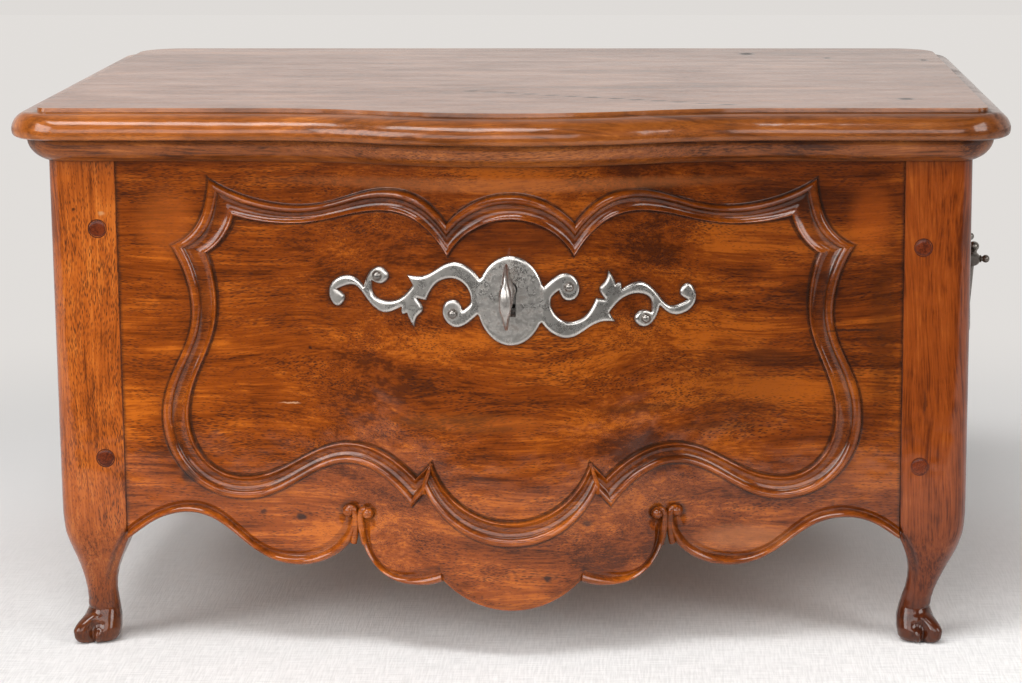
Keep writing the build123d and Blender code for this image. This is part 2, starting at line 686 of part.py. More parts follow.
def make_lid_staple():
    """Plate under the lid with the loop that the bolt's finger enters."""
    loop = block(-1.5, 1.5, 4.6, 13.4, 234.5, BODY_TOP)
    loop -= block(-2, 2, 6.2, 11.8, 237.5, 245.5)
    staple = staple_plate() + loop
    for x in staple_nail_xs():
        staple -= rod_z(1.2, BODY_TOP - 1, BODY_TOP + 3, x, 9)
    return staple


def make_staple_nails():
    return [rod_z(1.15, BODY_TOP, 261.5, x, 9) for x in staple_nail_xs()]


def make_key():
    """Hollow key with its bow upright and its bit down."""
    stem = rod_y(STEM_RADIUS, STEM_FRONT, STEM_BACK, 0, KEY_Z)
    stem += rod_y(STEM_RADIUS + 1.1, STEM_FRONT, STEM_FRONT + 2.5, 0, KEY_Z)
    bit = block(-BIT_HALF, BIT_HALF, 5, 12.5, KEY_Z - BIT_RADIUS, KEY_Z - STEM_RADIUS + 1)
    bit -= block(-2, 2, 8.2, 9.4, KEY_Z - BIT_RADIUS - 1, KEY_Z - 9)
    bow_y = STEM_FRONT - BOW_REACH + 1
    ring = Ellipse(BOW_REACH, BOW_TALL) - Ellipse(BOW_REACH - BOW_RIM, BOW_TALL - BOW_RIM)
    bow = extrude(Plane.YZ * ring, amount=BOW_HALF_WIDTH, both=True)
    key = stem + bit + Pos(0, bow_y, KEY_Z) * bow
    return key - rod_y(PIN_BORE, -6.5, STEM_BACK + 1, 0, KEY_Z)


def scroll_half():
    """One half of the scrollwork as a flat face, its plate side closed inside the oval."""
    edges = []
    for run in SCROLL_RUNS:
        edges.append(Line(*run) if len(run) == 2 else Spline(*run))
    edges.append(Line(SCROLL_RUNS[-1][-1], SCROLL_RUNS[0][0]))
    return make_face(edges)


def escutcheon_stud_places():
    """Where the four studs stand, in x and z on the front."""
    return [(side * u, PLATE_Z + side * w) for side in (-1, 1) for u, w in SCROLL_STUDS]


def make_escutcheon():
    half = scroll_half()
    flat = Ellipse(*OVAL) + half + Rot(0, 0, 180) * half
    prism = extrude(Plane.XZ * (Pos(0, PLATE_Z) * flat), amount=60, both=True)
    plate = front_skin(0, ESCUTCHEON_THICKNESS, 150, 220) & prism
    plate -= keyhole(-60, 0)
    for x, z in escutcheon_stud_places():
        plate -= on_front(x, z) * rod_y(0.9, -5, 8, 0, 0)
    return plate


def make_escutcheon_pins():
    face = -ESCUTCHEON_THICKNESS
    dome = Pos(0, face + 0.4, 0) * Sphere(STUD_HEAD) & block(-4, 4, face - 4, face - 0.05, -4, 4)
    pin = rod_y(0.85, face - 0.5, 7.5, 0, 0) + dome
    return [on_front(x, z) * pin for x, z in escutcheon_stud_places()]


def make_handle_posts():
    """The two posts of the right handle: a stud through the side, a pierced eye and a ball."""
    posts = []
    for y in handle_post_ys():
        post = rod_x(STUD_RADIUS, INNER_X - 6.5, SIDE_FACE + PIVOT_OUT - 2, y, HANDLE_Z)
        eye = Pos(SIDE_FACE + PIVOT_OUT, y, HANDLE_Z) * Rot(0, 0, 90) * Sphere(EYE_RADIUS)
        post += eye & block(SIDE_FACE, SIDE_FACE + 30, y - EYE_HALF, y + EYE_HALF,
                            HANDLE_Z - 9, HANDLE_Z + 9)
        post += rod_x(1.5, SIDE_FACE + PIVOT_OUT, SIDE_FACE + 21, y, HANDLE_Z)
        post += Pos(SIDE_FACE + 21.5, y, HANDLE_Z) * Sphere(2.3)
        post -= rod_y(BAIL_PIN + 0.08, y - 9, y + 9, SIDE_FACE + PIVOT_OUT, HANDLE_Z)
        posts.append(post)
    return posts


def make_handle_rosettes():
    rosettes = []
    for y in handle_post_ys():
        disc = rod_x(9.0, SIDE_FACE, SIDE_FACE + 0.8, y, HANDLE_Z)
        dome = Pos(SIDE_FACE + 1.6, y, HANDLE_Z) * Rot(0, 90, 0) * Cone(8.0, 4.2, 1.6)
        rosette = disc + dome
        rosettes.append(rosette - rod_x(STUD_RADIUS + SLIP, SIDE_FACE - 1, SIDE_FACE + 4, y, HANDLE_Z))
    return rosettes


def make_handle_nuts():
    nuts = []
    for y in handle_post_ys():
        nut = block(INNER_X - 4.6, INNER_X - 1.2, y - 4.5, y + 4.5, HANDLE_Z - 4.5, HANDLE_Z + 4.5)
        washer = rod_x(7.0, INNER_X - 1.2, INNER_X, y, HANDLE_Z)
        nuts.append(nut + washer - rod_x(STUD_RADIUS, INNER_X - 9, INNER_X + 1, y, HANDLE_Z))
    return nuts


def make_bail():
    """The right bail, hanging: one bent bar with ball ends and the two pivot pins."""
    x = SIDE_FACE + PIVOT_OUT
    top = HANDLE_Z + 5.5
    low = HANDLE_Z - BAIL_DROP
    corners = [(-BAIL_HALF, top), (-BAIL_HALF, low), (BAIL_HALF, low), (BAIL_HALF, top)]
    path = Pos(x, MIDDLE_Y, 0) * (Plane.YZ * FilletPolyline(*corners, radius=BAIL_CORNER))
    start = Plane(origin=(x, MIDDLE_Y - BAIL_HALF, top), z_dir=(0, 0, -1))
    bail = sweep(start * Circle(BAIL_RADIUS), path=path)
    for side in (-1, 1):
        arm = MIDDLE_Y + side * BAIL_HALF
        bail += Pos(x, arm, top + 0.6) * Sphere(2.7)
        end = MIDDLE_Y + side * (HANDLE_HALF + EYE_HALF + 1.6)
        bail += rod_y(BAIL_PIN, min(arm, end), max(arm, end), x, HANDLE_Z)
        neck = MIDDLE_Y + side * (HANDLE_HALF + EYE_HALF + 0.4)
        bail += rod_y(2.4, min(neck, end), max(neck, end), x, HANDLE_Z)
    return bail


def mirrored(solids):
    return [mirror(solid, about=Plane.YZ) for solid in solids]


def build_nodes():
    """Every node's name with its solids."""
    nodes = {}
    nodes["front_board"] = [make_front_board()]
    nodes["back_board"] = [make_back_board()]
    side = make_side_board()
    nodes["right_side_board"] = [side]
    nodes["left_side_board"] = mirrored([side])
    right_leg = make_leg(RIGHT_PEG_HEIGHTS)
    left_leg = mirror(make_leg(LEFT_PEG_HEIGHTS), about=Plane.YZ)
    nodes["front_right_leg"] = [right_leg]
    nodes["front_left_leg"] = [left_leg]
    nodes["rear_right_leg"] = [mirror(right_leg, about=middle_plane())]
    nodes["rear_left_leg"] = [mirror(left_leg, about=middle_plane())]
    nodes["front_pegs"], nodes["rear_pegs"], nodes["side_pegs"] = make_pegs()
    front_plank, rear_plank = make_bottom_planks()
    nodes["bottom_plank_front"] = [front_plank]
    nodes["bottom_plank_rear"] = [rear_plank]
    nodes["lid_board"] = [make_lid_board()]
    for name, length in make_lid_mouldings().items():
        nodes[f"lid_{name}_moulding"] = [length]
    for name, x in (("left", -HINGE_X), ("right", HINGE_X)):
        body_leaf, lid_leaf, pin = make_hinge(x)
        nodes[f"{name}_hinge_body_leaf"] = [body_leaf]
        nodes[f"{name}_hinge_lid_leaf"] = [lid_leaf]
        nodes[f"{name}_hinge_pin"] = [pin]
    screw_xs = [x for side_x in (-HINGE_X, HINGE_X) for x in hinge_screw_xs(side_x)]
    nodes["hinge_body_screws"] = [screw(x, -1) for x in screw_xs]
    nodes["hinge_lid_screws"] = [screw(x, 1) for x in screw_xs]
    nodes["lock_case"] = [make_lock_case()]
    nodes["lock_cover"] = [make_lock_cover()]
    nodes["lock_nails"] = make_lock_nails()
    nodes["lock_pin"] = [make_lock_pin()]
    nodes["lock_bolt"] = [make_bolt()]
    nodes["bolt_arm"] = [make_bolt_arm()]
    nodes["bolt_keepers"] = make_bolt_keepers()
    nodes["bolt_spring"] = [make_bolt_spring()]
    nodes["lid_staple"] = [make_lid_staple()]
    nodes["staple_nails"] = make_staple_nails()
    nodes["key"] = [make_key()]
    nodes["escutcheon"] = [make_escutcheon()]
    nodes["escutcheon_studs"] = make_escutcheon_pins()
    handle = {
        "handle_posts": make_handle_posts(),
        "handle_rosettes": make_handle_rosettes(),
        "handle_nuts": make_handle_nuts(),
        "bail": [make_bail()],
    }
    for name, solids in handle.items():
        nodes[f"right_{name}"] = solids
        nodes[f"left_{name}"] = mirrored(solids)
    return nodes


def export():
    """Centre the box on its bounding box, stand it on z = 0 and write one file for each node."""
    os.makedirs("parts", exist_ok=True)
    for name, solids in build_nodes().items():
        pieces = [s for shape in solids for s in (Pos(0, -CENTRE_Y, FLOOR_DROP) * shape).solids()]
        shape = pieces[0] if len(pieces) == 1 else Compound(children=pieces)
        shape.label = name
        export_step(shape, f"parts/{name}.step")


export()
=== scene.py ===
import math

import bpy
import numpy as np
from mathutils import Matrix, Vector
from mathutils.geometry import delaunay_2d_cdt


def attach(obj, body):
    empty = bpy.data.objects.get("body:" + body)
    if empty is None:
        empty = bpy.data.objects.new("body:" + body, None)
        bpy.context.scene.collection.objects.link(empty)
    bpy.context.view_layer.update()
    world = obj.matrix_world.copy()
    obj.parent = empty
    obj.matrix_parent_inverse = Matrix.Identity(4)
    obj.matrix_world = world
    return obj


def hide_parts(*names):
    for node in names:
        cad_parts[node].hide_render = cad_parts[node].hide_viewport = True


# Carved walnut letter box with a serpentine front, on four scroll feet. Metres; the front faces -Y.

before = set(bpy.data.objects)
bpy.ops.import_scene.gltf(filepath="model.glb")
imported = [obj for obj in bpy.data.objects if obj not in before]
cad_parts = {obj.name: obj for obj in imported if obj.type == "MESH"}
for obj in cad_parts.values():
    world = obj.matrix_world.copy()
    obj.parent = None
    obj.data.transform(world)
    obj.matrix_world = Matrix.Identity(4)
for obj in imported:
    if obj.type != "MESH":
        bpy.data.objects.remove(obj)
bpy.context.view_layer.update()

# Places shared with the solids. Heights are above a line LIFT over the floor.
FRONT_Y = -0.137
REAR_Y = 0.181
MIDDLE_Y = (FRONT_Y + REAR_Y) / 2
SIDE_X = 0.2353
LIFT = 0.0045
JOINT_X = 0.200
JOINT_EDGE = 0.1998
POST = 0.0353
POST_RADIUS = 0.012
BODY_TOP = 0.2525
BOW = 0.024
BOW_HALF = 0.130
BOW_RADIUS = (BOW_HALF**2 + BOW**2) / (4 * BOW)
BOARD_BACK_Y = FRONT_Y + 0.016
POCKET_HALF = 0.0453
POCKET_LOW = 0.1637
PLATE_Z = 0.184
KEY_Z = 0.190
KEYHOLE_RADIUS = 0.0043
KEYHOLE_LOW = 0.176
HOLE_HALF = (0.0062, 0.0105)
HOLE_Z = 0.1855
LID_LOW = 0.263
HANDLE_Z = 0.182
ROSETTE_RADIUS = 0.0086
HANDLE_HALF = 0.040
BAIL_HALF = 0.034
BAIL_OUT = 0.013
BAIL_TOP = 0.1860
BAIL_LOW = 0.1388
BAIL_CORNER = 0.017
BAIL_RADIUS = 0.0019
BAIL_SWELL = 0.0007
KEY_BOW_Y = FRONT_Y - 0.0480
KEY_BOW_SIZE = (0, 0.0127, 0.0139)
PEGS = ((-0.210, (0.0973, 0.2169)), (0.210, (0.0927, 0.2071)))


def mm(rows, units=1000):
    """A table written in millimetres, in metres; units gives each column's own where they differ."""
    return np.array(rows, float) / units


# Small differences between left and right, from the hand's work
FRAME_SHIFT = 0.0012
ARCH_CUTS = ((-0.158, 0.0016), (0.158, -0.0020))
LID_LEFT_IN = (0.0034, 0.0010)
FOOT_STANCE = {"front_left": (0.0042, 0.0028), "front_right": (-0.0034, 0.0028)}

# Outlines of the front, right half, drawn flat in x and z as chains of cubic curves
CARTOUCHE_OUTER = mm([
    (32, 223), (40.3, 234.4), (49.5, 239.2), (60.5, 239.2), (78, 239.2), (88, 229.2), (110, 229.2),
    (126.3, 229.2), (144, 235.4), (154.3, 243), (155.8, 226.4), (159.6, 214), (174.2, 208.5),
    (167.8, 198.8), (163.9, 185.4), (163.9, 175), (163.9, 152.6), (179.7, 143.9), (179.7, 119),
    (179.7, 94.7), (161.3, 75.8), (137.5, 75.8), (116.3, 75.8), (102.8, 96.3), (83, 96.3), (70.2, 96.3),
    (58, 86.1), (50.6, 75.7),
])
CARTOUCHE_INNER = mm([
    (31.6, 206), (38, 217), (47, 228), (63, 228), (80, 228), (94, 219.8), (113, 219.8), (122, 219.8),
    (131, 220.4), (141.2, 223.3), (144, 214.6), (149, 208.4), (155.5, 204.6), (152.4, 198), (150.7, 187),
    (150.7, 178), (150.7, 154.7), (165.8, 142.5), (165.8, 120.5), (165.8, 103.4), (155.4, 88.2),
    (138, 88.2), (116.3, 88.2), (102.6, 107.5), (82, 107.5), (70.8, 107.5), (60.6, 103.7), (48, 91.5),
])
OUTER_ARCH_TOP = 0.2380
INNER_ARCH_TOP = 0.2249
OUTER_NOTCH = (0.0433, 0.0844)
INNER_NOTCH = (0.0401, 0.1000)
OUTER_LOBE_LOW = 0.0562
INNER_LOBE_LOW = 0.0696
APRON_LOBE = (0.0356, 0.0368)
APRON_LOW = 0.0217
BEAD_LOBE = (0.0371, 0.0462)
BEAD_LOW = 0.0290
LEVEL_LOW = 0.075
APRON_TO_CUSP = mm([
    (35.6, 36.8), (40, 34.6), (45, 33.8), (51, 33.8), (70.6, 33.8), (79.5, 51.4), (79.9, 66),
])
BEAD_TO_CUSP = mm([
    (37.1, 46.2), (42.2, 44.1), (52.6, 41), (58, 41), (67.7, 41), (73.8, 48.1), (73.8, 64.4),
])
APRON_TO_LEG = mm([
    (79.9, 66), (80.3, 53.3), (94.8, 40.2), (112, 40.2), (138.8, 40.2), (146, 66.9), (170, 66.9),
    (185.2, 66.9), (192.1, 58.9), (200, 54),
])
BEAD_TO_LEG = mm([
    (86.3, 67.9), (88.5, 57.5), (99, 48.3), (115.3, 48.3), (140.8, 48.3), (142.4, 74.2), (169.7, 74.2),
    (181.6, 73), (193.6, 66.9), (200, 60.6),
])

# The hollow round the curled ends of the bead, and the balls of the ends
HOLLOW = (0.0792, 0.0700)
HOLLOW_DEPTH = 0.0016
CURLS = ((0.0848, 0.0709), (0.0746, 0.0703))
CURL_RADIUS = 0.0031
CURL_HEIGHT = 0.0033

# Sections across the carving: place between the outer and the inner line, height, dirt and painted shade, wear; the
# painted shade darkens the edges of the frame and bead and their hollows
SECTION_UNITS = (1, 1000, 1, 1)
BAND_SECTION = mm([
    (-0.16, -0.3, 0.1, 0), (-0.06, 0.04, 0.7, 0), (0, 0.02, 1, 0), (0.012, 1.1, 0.8, 0),
    (0.04, 2.15, 0.2, 0.3), (0.085, 3, 0, 0.9), (0.14, 3.45, 0, 1), (0.2, 3.55, 0, 0.7),
    (0.26, 3.35, 0, 0.4), (0.315, 2.85, 0.05, 0.2), (0.35, 2.25, 0.3, 0), (0.372, 1.65, 0.85, 0),
    (0.395, 1.4, 0.8, 0), (0.44, 1.15, 0.45, 0), (0.51, 0.8, 0.38, 0), (0.59, 0.62, 0.34, 0),
    (0.67, 0.68, 0.26, 0), (0.75, 1, 0.16, 0), (0.82, 1.55, 0.08, 0.1), (0.87, 2.1, 0.02, 0.3),
    (0.902, 2.5, 0, 0.8), (0.925, 2.65, 0, 1), (0.95, 2.5, 0.05, 0.6), (0.97, 1.7, 0.45, 0),
    (0.985, 0.6, 0.9, 0), (1, 0.02, 1, 0), (1.07, 0.04, 0.75, 0), (1.17, -0.3, 0.1, 0),
], SECTION_UNITS)
BEAD_SECTION = mm([
    (0, -3, 0.35, 0), (0.02, -1.2, 0.15, 0.2), (0.08, 0.1, 0.05, 0.6), (0.18, 1, 0, 1), (0.3, 1.3, 0, 1),
    (0.42, 0.8, 0.05, 0.7), (0.5, 0, 0.2, 0.2), (0.56, -0.9, 0.48, 0), (0.62, -1.3, 0.4, 0),
    (0.7, -1.3, 0.3, 0), (0.8, -1, 0.15, 0.1), (0.9, -0.4, 0.1, 0.3), (0.97, -0.1, 0.15, 0.2),
    (1, 0, 0.2, 0),
], SECTION_UNITS)
LOBE_SECTION = mm([
    (0, -3.4, 0.35, 0), (0.02, -2, 0.2, 0.4), (0.08, -1.1, 0.05, 1), (0.16, -0.6, 0, 1),
    (0.26, -0.4, 0.1, 0.6), (0.36, -0.4, 0.45, 0.1), (0.44, -0.2, 0.3, 0), (0.52, -0.1, 0.2, 0),
    (0.62, 0, 0.12, 0), (0.73, 0, 0.1, 0), (0.83, 0, 0.1, 0), (0.92, 0, 0.1, 0), (0.97, 0, 0.1, 0),
    (1, 0, 0.1, 0),
], SECTION_UNITS)

# The lid's edge from the field down: how far it stands proud of the body, and its height
LID_EDGE = mm([
    (6, 279), (6.2, 277), (6.4, 276.8), (7.5, 276.8), (7.9, 276.7), (10, 276.6), (12.1, 276.2),
    (13.9, 275.3), (15.5, 274), (16.8, 272.7), (17.7, 271.2), (18.4, 269.8), (18.8, 268.3), (18.8, 266.8),
    (18.5, 265.4), (17.8, 264.5), (16.6, 264), (15, 263.6), (12.8, 263.3), (10.4, 263.1),
])
# radii of the corners, front and rear, at the step in the top and at the nose
LID_STEP_RADII = mm((6, 25))
LID_NOSE_RADII = mm((29, 34))
# dirt and painted shade, and wear, on the lines of the lid's edge, by their number; the painted shade lies in the
# quirk under the field and under the nose
LID_GRIME_AND_SHADE = {1: 0.3, 2: 0.9, 3: 0.75, 4: 0.3, 17: 0.3, 18: 0.6, 19: 0.9}
LID_WEAR = {0: 0.9, 8: 0.4, 9: 0.5, 14: 0.5, 15: 0.6}
UNDER_EDGE = mm([
    (10.7, 263), (10.6, 261.6), (10.2, 259.8), (9.5, 258.1), (8.5, 256.6), (7.3, 255.2), (5.8, 253.9),
    (4.2, 252.9), (2.4, 252), (1, 251.5), (0.4, 251.6), (0.3, 252.55),
])
# painted shadow along the ovolo's edges, where it meets the lid and the body
UNDER_GRIME_AND_SHADE = [0.8, 0.3, 0.1] + [0.0] * 5 + [0.1, 0.3, 0.8, 0.9]
# the rear moulding's lip rises by this share of its reach, so that it clears the back when the lid is open
OPEN_LEAN = 0.2

# Legs: height, inner side, outer side, radius of the outer corner, radius of the others
LEG_LEVELS = mm([
    (252.5, 200, 235.3, 12, 0.7), (74, 200, 235.3, 12, 0.7), (66, 200, 235.2, 12.1, 1),
    (60, 200, 234.8, 12.1, 1.4), (56, 200, 234.3, 12, 2.2), (54.1, 200.1, 233.9, 11.9, 3),
    (50.5, 201.9, 232.9, 11.6, 4.2), (45, 204, 231, 11.2, 5.4), (39.5, 206.1, 228.7, 10.6, 6.2),
    (34, 207.3, 226.4, 10, 6.6), (28.7, 207.6, 224.4, 9.4, 6.6), (23.3, 207.2, 222.7, 9.1, 6.4),
    (17.8, 206, 221.7, 9, 6.4), (13.5, 205, 221.6, 9.2, 6.8), (8.1, 204, 223.4, 9.8, 7.8),
    (2.6, 204, 225.6, 10.4, 8.6), (-1.5, 204.7, 225, 9.8, 8), (-3.6, 206.2, 223.6, 8.6, 7),
    (-4.5, 208.6, 221.4, 6.4, 6),
])
# Toes and creases: direction, height, how far out, width in angle, height of the swelling
TOES = mm([
    (0.785, 0.8, 5.6, 0.38, 8.2), (1.58, -1.4, 2, 0.17, 3.4), (-0.01, -1.4, 2, 0.17, 3.4),
    (1.28, 1.2, -2.4, 0.15, 6.2), (0.29, 1.2, -2.4, 0.15, 6.2), (1.6, 4.6, -1.4, 0.26, 2),
    (-0.03, 4.6, -1.4, 0.26, 2), (0.785, 12, -1, 0.8, 2.2),
], (1, 1000, 1000, 1, 1000))
# The bead along the lower edge runs on down the leg: the line of its groove, height and side
LEG_GROOVE = mm([
    (10, 212), (30, 211.2), (38, 210), (46, 207.8), (53, 204), (58.5, 200.3), (64, 195),
])

# The keyhole plate's scrolls, from the oval out and back to it, and the places of its studs
SCROLL_RUNS = [mm(run) for run in (
    [(14.2, 4.8), (18.4, 8.7), (28.1, 13.7), (34.2, 7.4), (31.6, 0.4), (27.2, 0.2), (24.2, 5.1)],
    [(24.2, 5.1), (20.4, 1.5), (21.3, -5.7), (27.5, -10.9), (36.5, -9), (42.8, 0.5)],
    [(42.8, 0.5), (47.4, -0.4)],
    [(47.4, -0.4), (44.7, 6.1), (47.1, 8.7), (49, 14.3)],
    [(49, 14.3), (51.3, 10.7), (52.6, 7.4)],
    [(52.6, 7.4), (54.8, 8.1), (55.4, 4.5)],
    [(55.4, 4.5), (64.8, 7.8), (73.8, 0.9), (79.6, -5.3), (89.2, -2.7)],
    [(89.2, -2.7), (85, 1), (88.6, 5.8), (93.1, 0.2), (89.2, -8.3), (81, -9.8), (74.8, -5)],
    [(74.8, -5), (71.9, -12.2), (66.6, -15.4), (62, -11), (65.4, -7), (70.6, -8.2)],
    [(70.6, -8.2), (69.9, -1.1), (62.2, 1.9), (53.8, -1.7), (49.3, -7)],
    [(49.3, -7), (52.2, -11.9)],
    [(52.2, -11.9), (44.2, -11.9), (28.7, -19.4), (19.1, -15.5), (13.2, -7.6)],
)]
SCROLL_STUDS = mm([(29.1, 6.8), (67.4, -11)])
OVAL = (0.0170, 0.0228)
PLATE_SHIFT = 0.0009
PLATE_CENTRE = (PLATE_SHIFT, PLATE_Z)

# The studio: the floor's colour, its painted shade to the left, and the room's
FLOOR_NEAR = (0.90, 0.895, 0.89)
FLOOR_LEFT_SHADE = (0.84, 0.84, 0.84)
ROOM_PALE = (0.735, 0.71, 0.685)
ROOM_DIM = (0.075, 0.072, 0.069)
ROOM_FILL = (0.28, 0.274, 0.268)
FLOOR_DIM = (0.025, 0.023, 0.021)


# Mesh making

def add_mesh(name, verts, faces, material, crease=28.0, masks=None, smooth=True, lift=LIFT):
    """A mesh object in the box's own frame, with its masks for dirt and painted shade, and for wear."""
    mesh = bpy.data.meshes.new(name)
    verts = np.asarray(verts, float) + (0, 0, lift)
    mesh.from_pydata(verts.tolist(), [], [tuple(map(int, face)) for face in faces])
    mesh.validate()
    mesh.update()
    if smooth:
        mesh.shade_smooth()
        mesh.set_sharp_from_angle(angle=math.radians(crease))
    if masks is not None:
        for label, values in zip(("grime_and_shade", "wear"), np.array(masks, np.float32).T):
            layer = mesh.attributes.new(label, "FLOAT", "POINT")
            layer.data.foreach_set("value", np.ascontiguousarray(values))
    mesh.materials.append(material)
    obj = bpy.data.objects.new(name, mesh)
    bpy.context.scene.collection.objects.link(obj)
    return obj


def add_parts(name, parts, material, **looks):
    """Several (points, faces, masks) as one mesh; a pair of masks holds for its whole part."""
    verts, faces, masks = [], [], []
    for part_verts, part_faces, part_masks in parts:
        faces += [tuple(i + len(verts) for i in face) for face in part_faces]
        verts += list(part_verts)
        if part_masks is not None:
            masks += list(np.broadcast_to(part_masks, (len(part_verts), 2)))
    return add_mesh(name, verts, faces, material, masks=masks or None, **looks)


def grid_faces(rows, columns, closed_rows=False, closed_columns=False, flip=False, skip=None):
    """Quads between the rows and columns of a grid of points."""
    faces = []
    for i in range(rows if closed_rows else rows - 1):
        for j in range(columns if closed_columns else columns - 1):
            if skip is not None and skip[i, j]:
                continue
            low, high = i * columns, (i + 1) % rows * columns
            face = (low + j, low + (j + 1) % columns, high + (j + 1) % columns, high + j)
            faces.append((face[0], *face[:0:-1]) if flip else face)
    return faces


def rod_faces(rings, steps, flip=False, flip_ends=False):
    """Faces along a rod of rings of points, with both its ends closed."""
    last = (rings - 1) * steps
    ends = [tuple(range(steps))[::-1], tuple(range(last, last + steps))]
    faces = grid_faces(rings, steps, closed_columns=True, flip=flip)
    return faces + [end[::-1] if flip_ends else end for end in ends]


def turns_round(steps):
    """Even angles once round."""
    return np.linspace(0, 2 * math.pi, steps + 1)[:-1]


def curve_run(chain, steps):
    """Points along a chain of cubic curves."""
    points = []
    for i in range(0, len(chain) - 1, 3):
        p0, p1, p2, p3 = chain[i:i + 4]
        last = i + 4 >= len(chain)
        for k in range(steps + 1 if last else steps):
            t = k / steps
            points.append((1 - t)**3 * p0 + 3 * t * (1 - t)**2 * p1 + 3 * t * t * (1 - t) * p2 + t**3 * p3)
    return np.array(points)


def arc_run(half, end_z, middle_z, steps):
    """Points along a round arc that is level at x = 0, from there to its end at x = half."""
    rise = middle_z - end_z
    radius = (half**2 + rise**2) / (2 * rise)
    turns = np.linspace(0, math.asin(half / abs(radius)), steps + 1)
    return np.stack([abs(radius) * np.sin(turns), middle_z - radius * (1 - np.cos(turns))], 1)


def smooth_run(points, steps):
    """Points along a smooth curve through the given ones."""
    count = len(points)
    if count == 2:
        return points
    gaps = np.linalg.norm(np.diff(points, axis=0), axis=1)
    system, right = np.eye(count), np.zeros((count, 2))
    for i in range(1, count - 1):
        system[i, i - 1:i + 2] = gaps[i - 1], 2 * (gaps[i - 1] + gaps[i]), gaps[i]
        right[i] = 6 * ((points[i + 1] - points[i]) / gaps[i] - (points[i] - points[i - 1]) / gaps[i - 1])
    bend = np.linalg.solve(system, right)
    out = []
    for i in range(count - 1):
        for b in np.arange(steps) / steps:
            a = 1 - b
            out.append(a * points[i] + b * points[i + 1]
                       + ((a**3 - a) * bend[i] + (b**3 - b) * bend[i + 1]) * gaps[i]**2 / 6)
    return np.array(out + [points[-1]])


def both_sides(line):
    """A line from the middle out, led up to by its mirror image."""
    return np.concatenate([line[:0:-1] * (-1, 1), line])


def bow_depth(x):
    """How far the front stands forward at x."""
    x = np.minimum(np.abs(np.asarray(x, float)), BOW_HALF)
    root = np.sqrt(np.maximum(BOW_RADIUS**2 - np.where(x >= BOW_HALF / 2, BOW_HALF - x, x)**2, 0))
    return np.where(x >= BOW_HALF / 2, BOW_RADIUS - root, BOW - BOW_RADIUS + root)


def front_points(x, z, height):
    """Points at a height above the bowed front."""
    x = np.asarray(x, float)
    run = np.minimum(np.abs(x), np.maximum(BOW_HALF - np.abs(x), 0))
    slope = run / BOW_RADIUS * np.sign(x)
    height = np.broadcast_to(height, x.shape)
    y = FRONT_Y - bow_depth(x) - height * np.sqrt(1 - slope**2)
    return np.stack([x + height * slope, y, np.broadcast_to(z, x.shape)], -1)


def waver(points, amount, scale):
    """A slow unevenness of a hand tool, from a few sine waves."""
    u, v = np.moveaxis(np.asarray(points)[..., :2] / scale, -1, 0)
    wave = np.sin(u * 1.7 + 0.6 * np.sin(v * 2.3 + 1.0)) + np.sin(v * 2.1 + 0.8 * np.sin(u * 1.3))
    return amount * 0.5 * wave


def eased(share):
    """A share from 0 to 1, eased at both ends."""
    share = np.clip(share, 0, 1)
    return share * share * (3 - 2 * share)


def recess(x, z):
    """How deep the ground is cut back round the curled ends of the bead."""
    away = np.hypot(np.abs(x) - HOLLOW[0], (np.asarray(z) - HOLLOW[1]) * 1.15)
    return -HOLLOW_DEPTH * eased((0.0125 - away) / 0.0085)


def ribbon(outer, inner, section, closed=False):
    """Carving swept between two matching lines on the front."""
    share, height, *masks = section.T
    places = outer[:, None, :] + (inner - outer)[:, None, :] * share[:, None]
    uneven = 1 + waver(places, 0.10, 0.019)
    heights = height * np.where(height > 0.0002, uneven, 1.0)
    heights = heights + recess(places[..., 0], places[..., 1]) * np.clip(share * 2 - 0.8, 0, 1)
    points = front_points(places[..., 0], places[..., 1], heights)
    faces = grid_faces(len(outer), len(section), closed_rows=closed)
    return points.reshape(-1, 3), faces, np.tile(np.array(masks).T, (len(outer), 1))


def mirrored(part):
    verts, faces, masks = part
    return np.array(verts) * (-1, 1, 1), [face[::-1] for face in faces], masks


# Materials

def new_group(name, inputs, outputs):
    """A node group; a triple makes a colour socket, a number a value, and None the vector."""
    group = bpy.data.node_groups.new(name, "ShaderNodeTree")
    for label, value in inputs.items():
        kind = "Vector" if value is None else "Color" if isinstance(value, tuple) else "Float"
        socket = group.interface.new_socket(name=label, in_out="INPUT", socket_type=f"NodeSocket{kind}")
        if value is not None:
            socket.default_value = (*value, 1) if kind == "Color" else value
    for label in outputs:
        kind = "Color" if label == "Color" else "Float"
        group.interface.new_socket(name=label, in_out="OUTPUT", socket_type=f"NodeSocket{kind}")
    nodes = group.nodes
    return group, Tree(group), nodes.new("NodeGroupInput").outputs, nodes.new("NodeGroupOutput").inputs


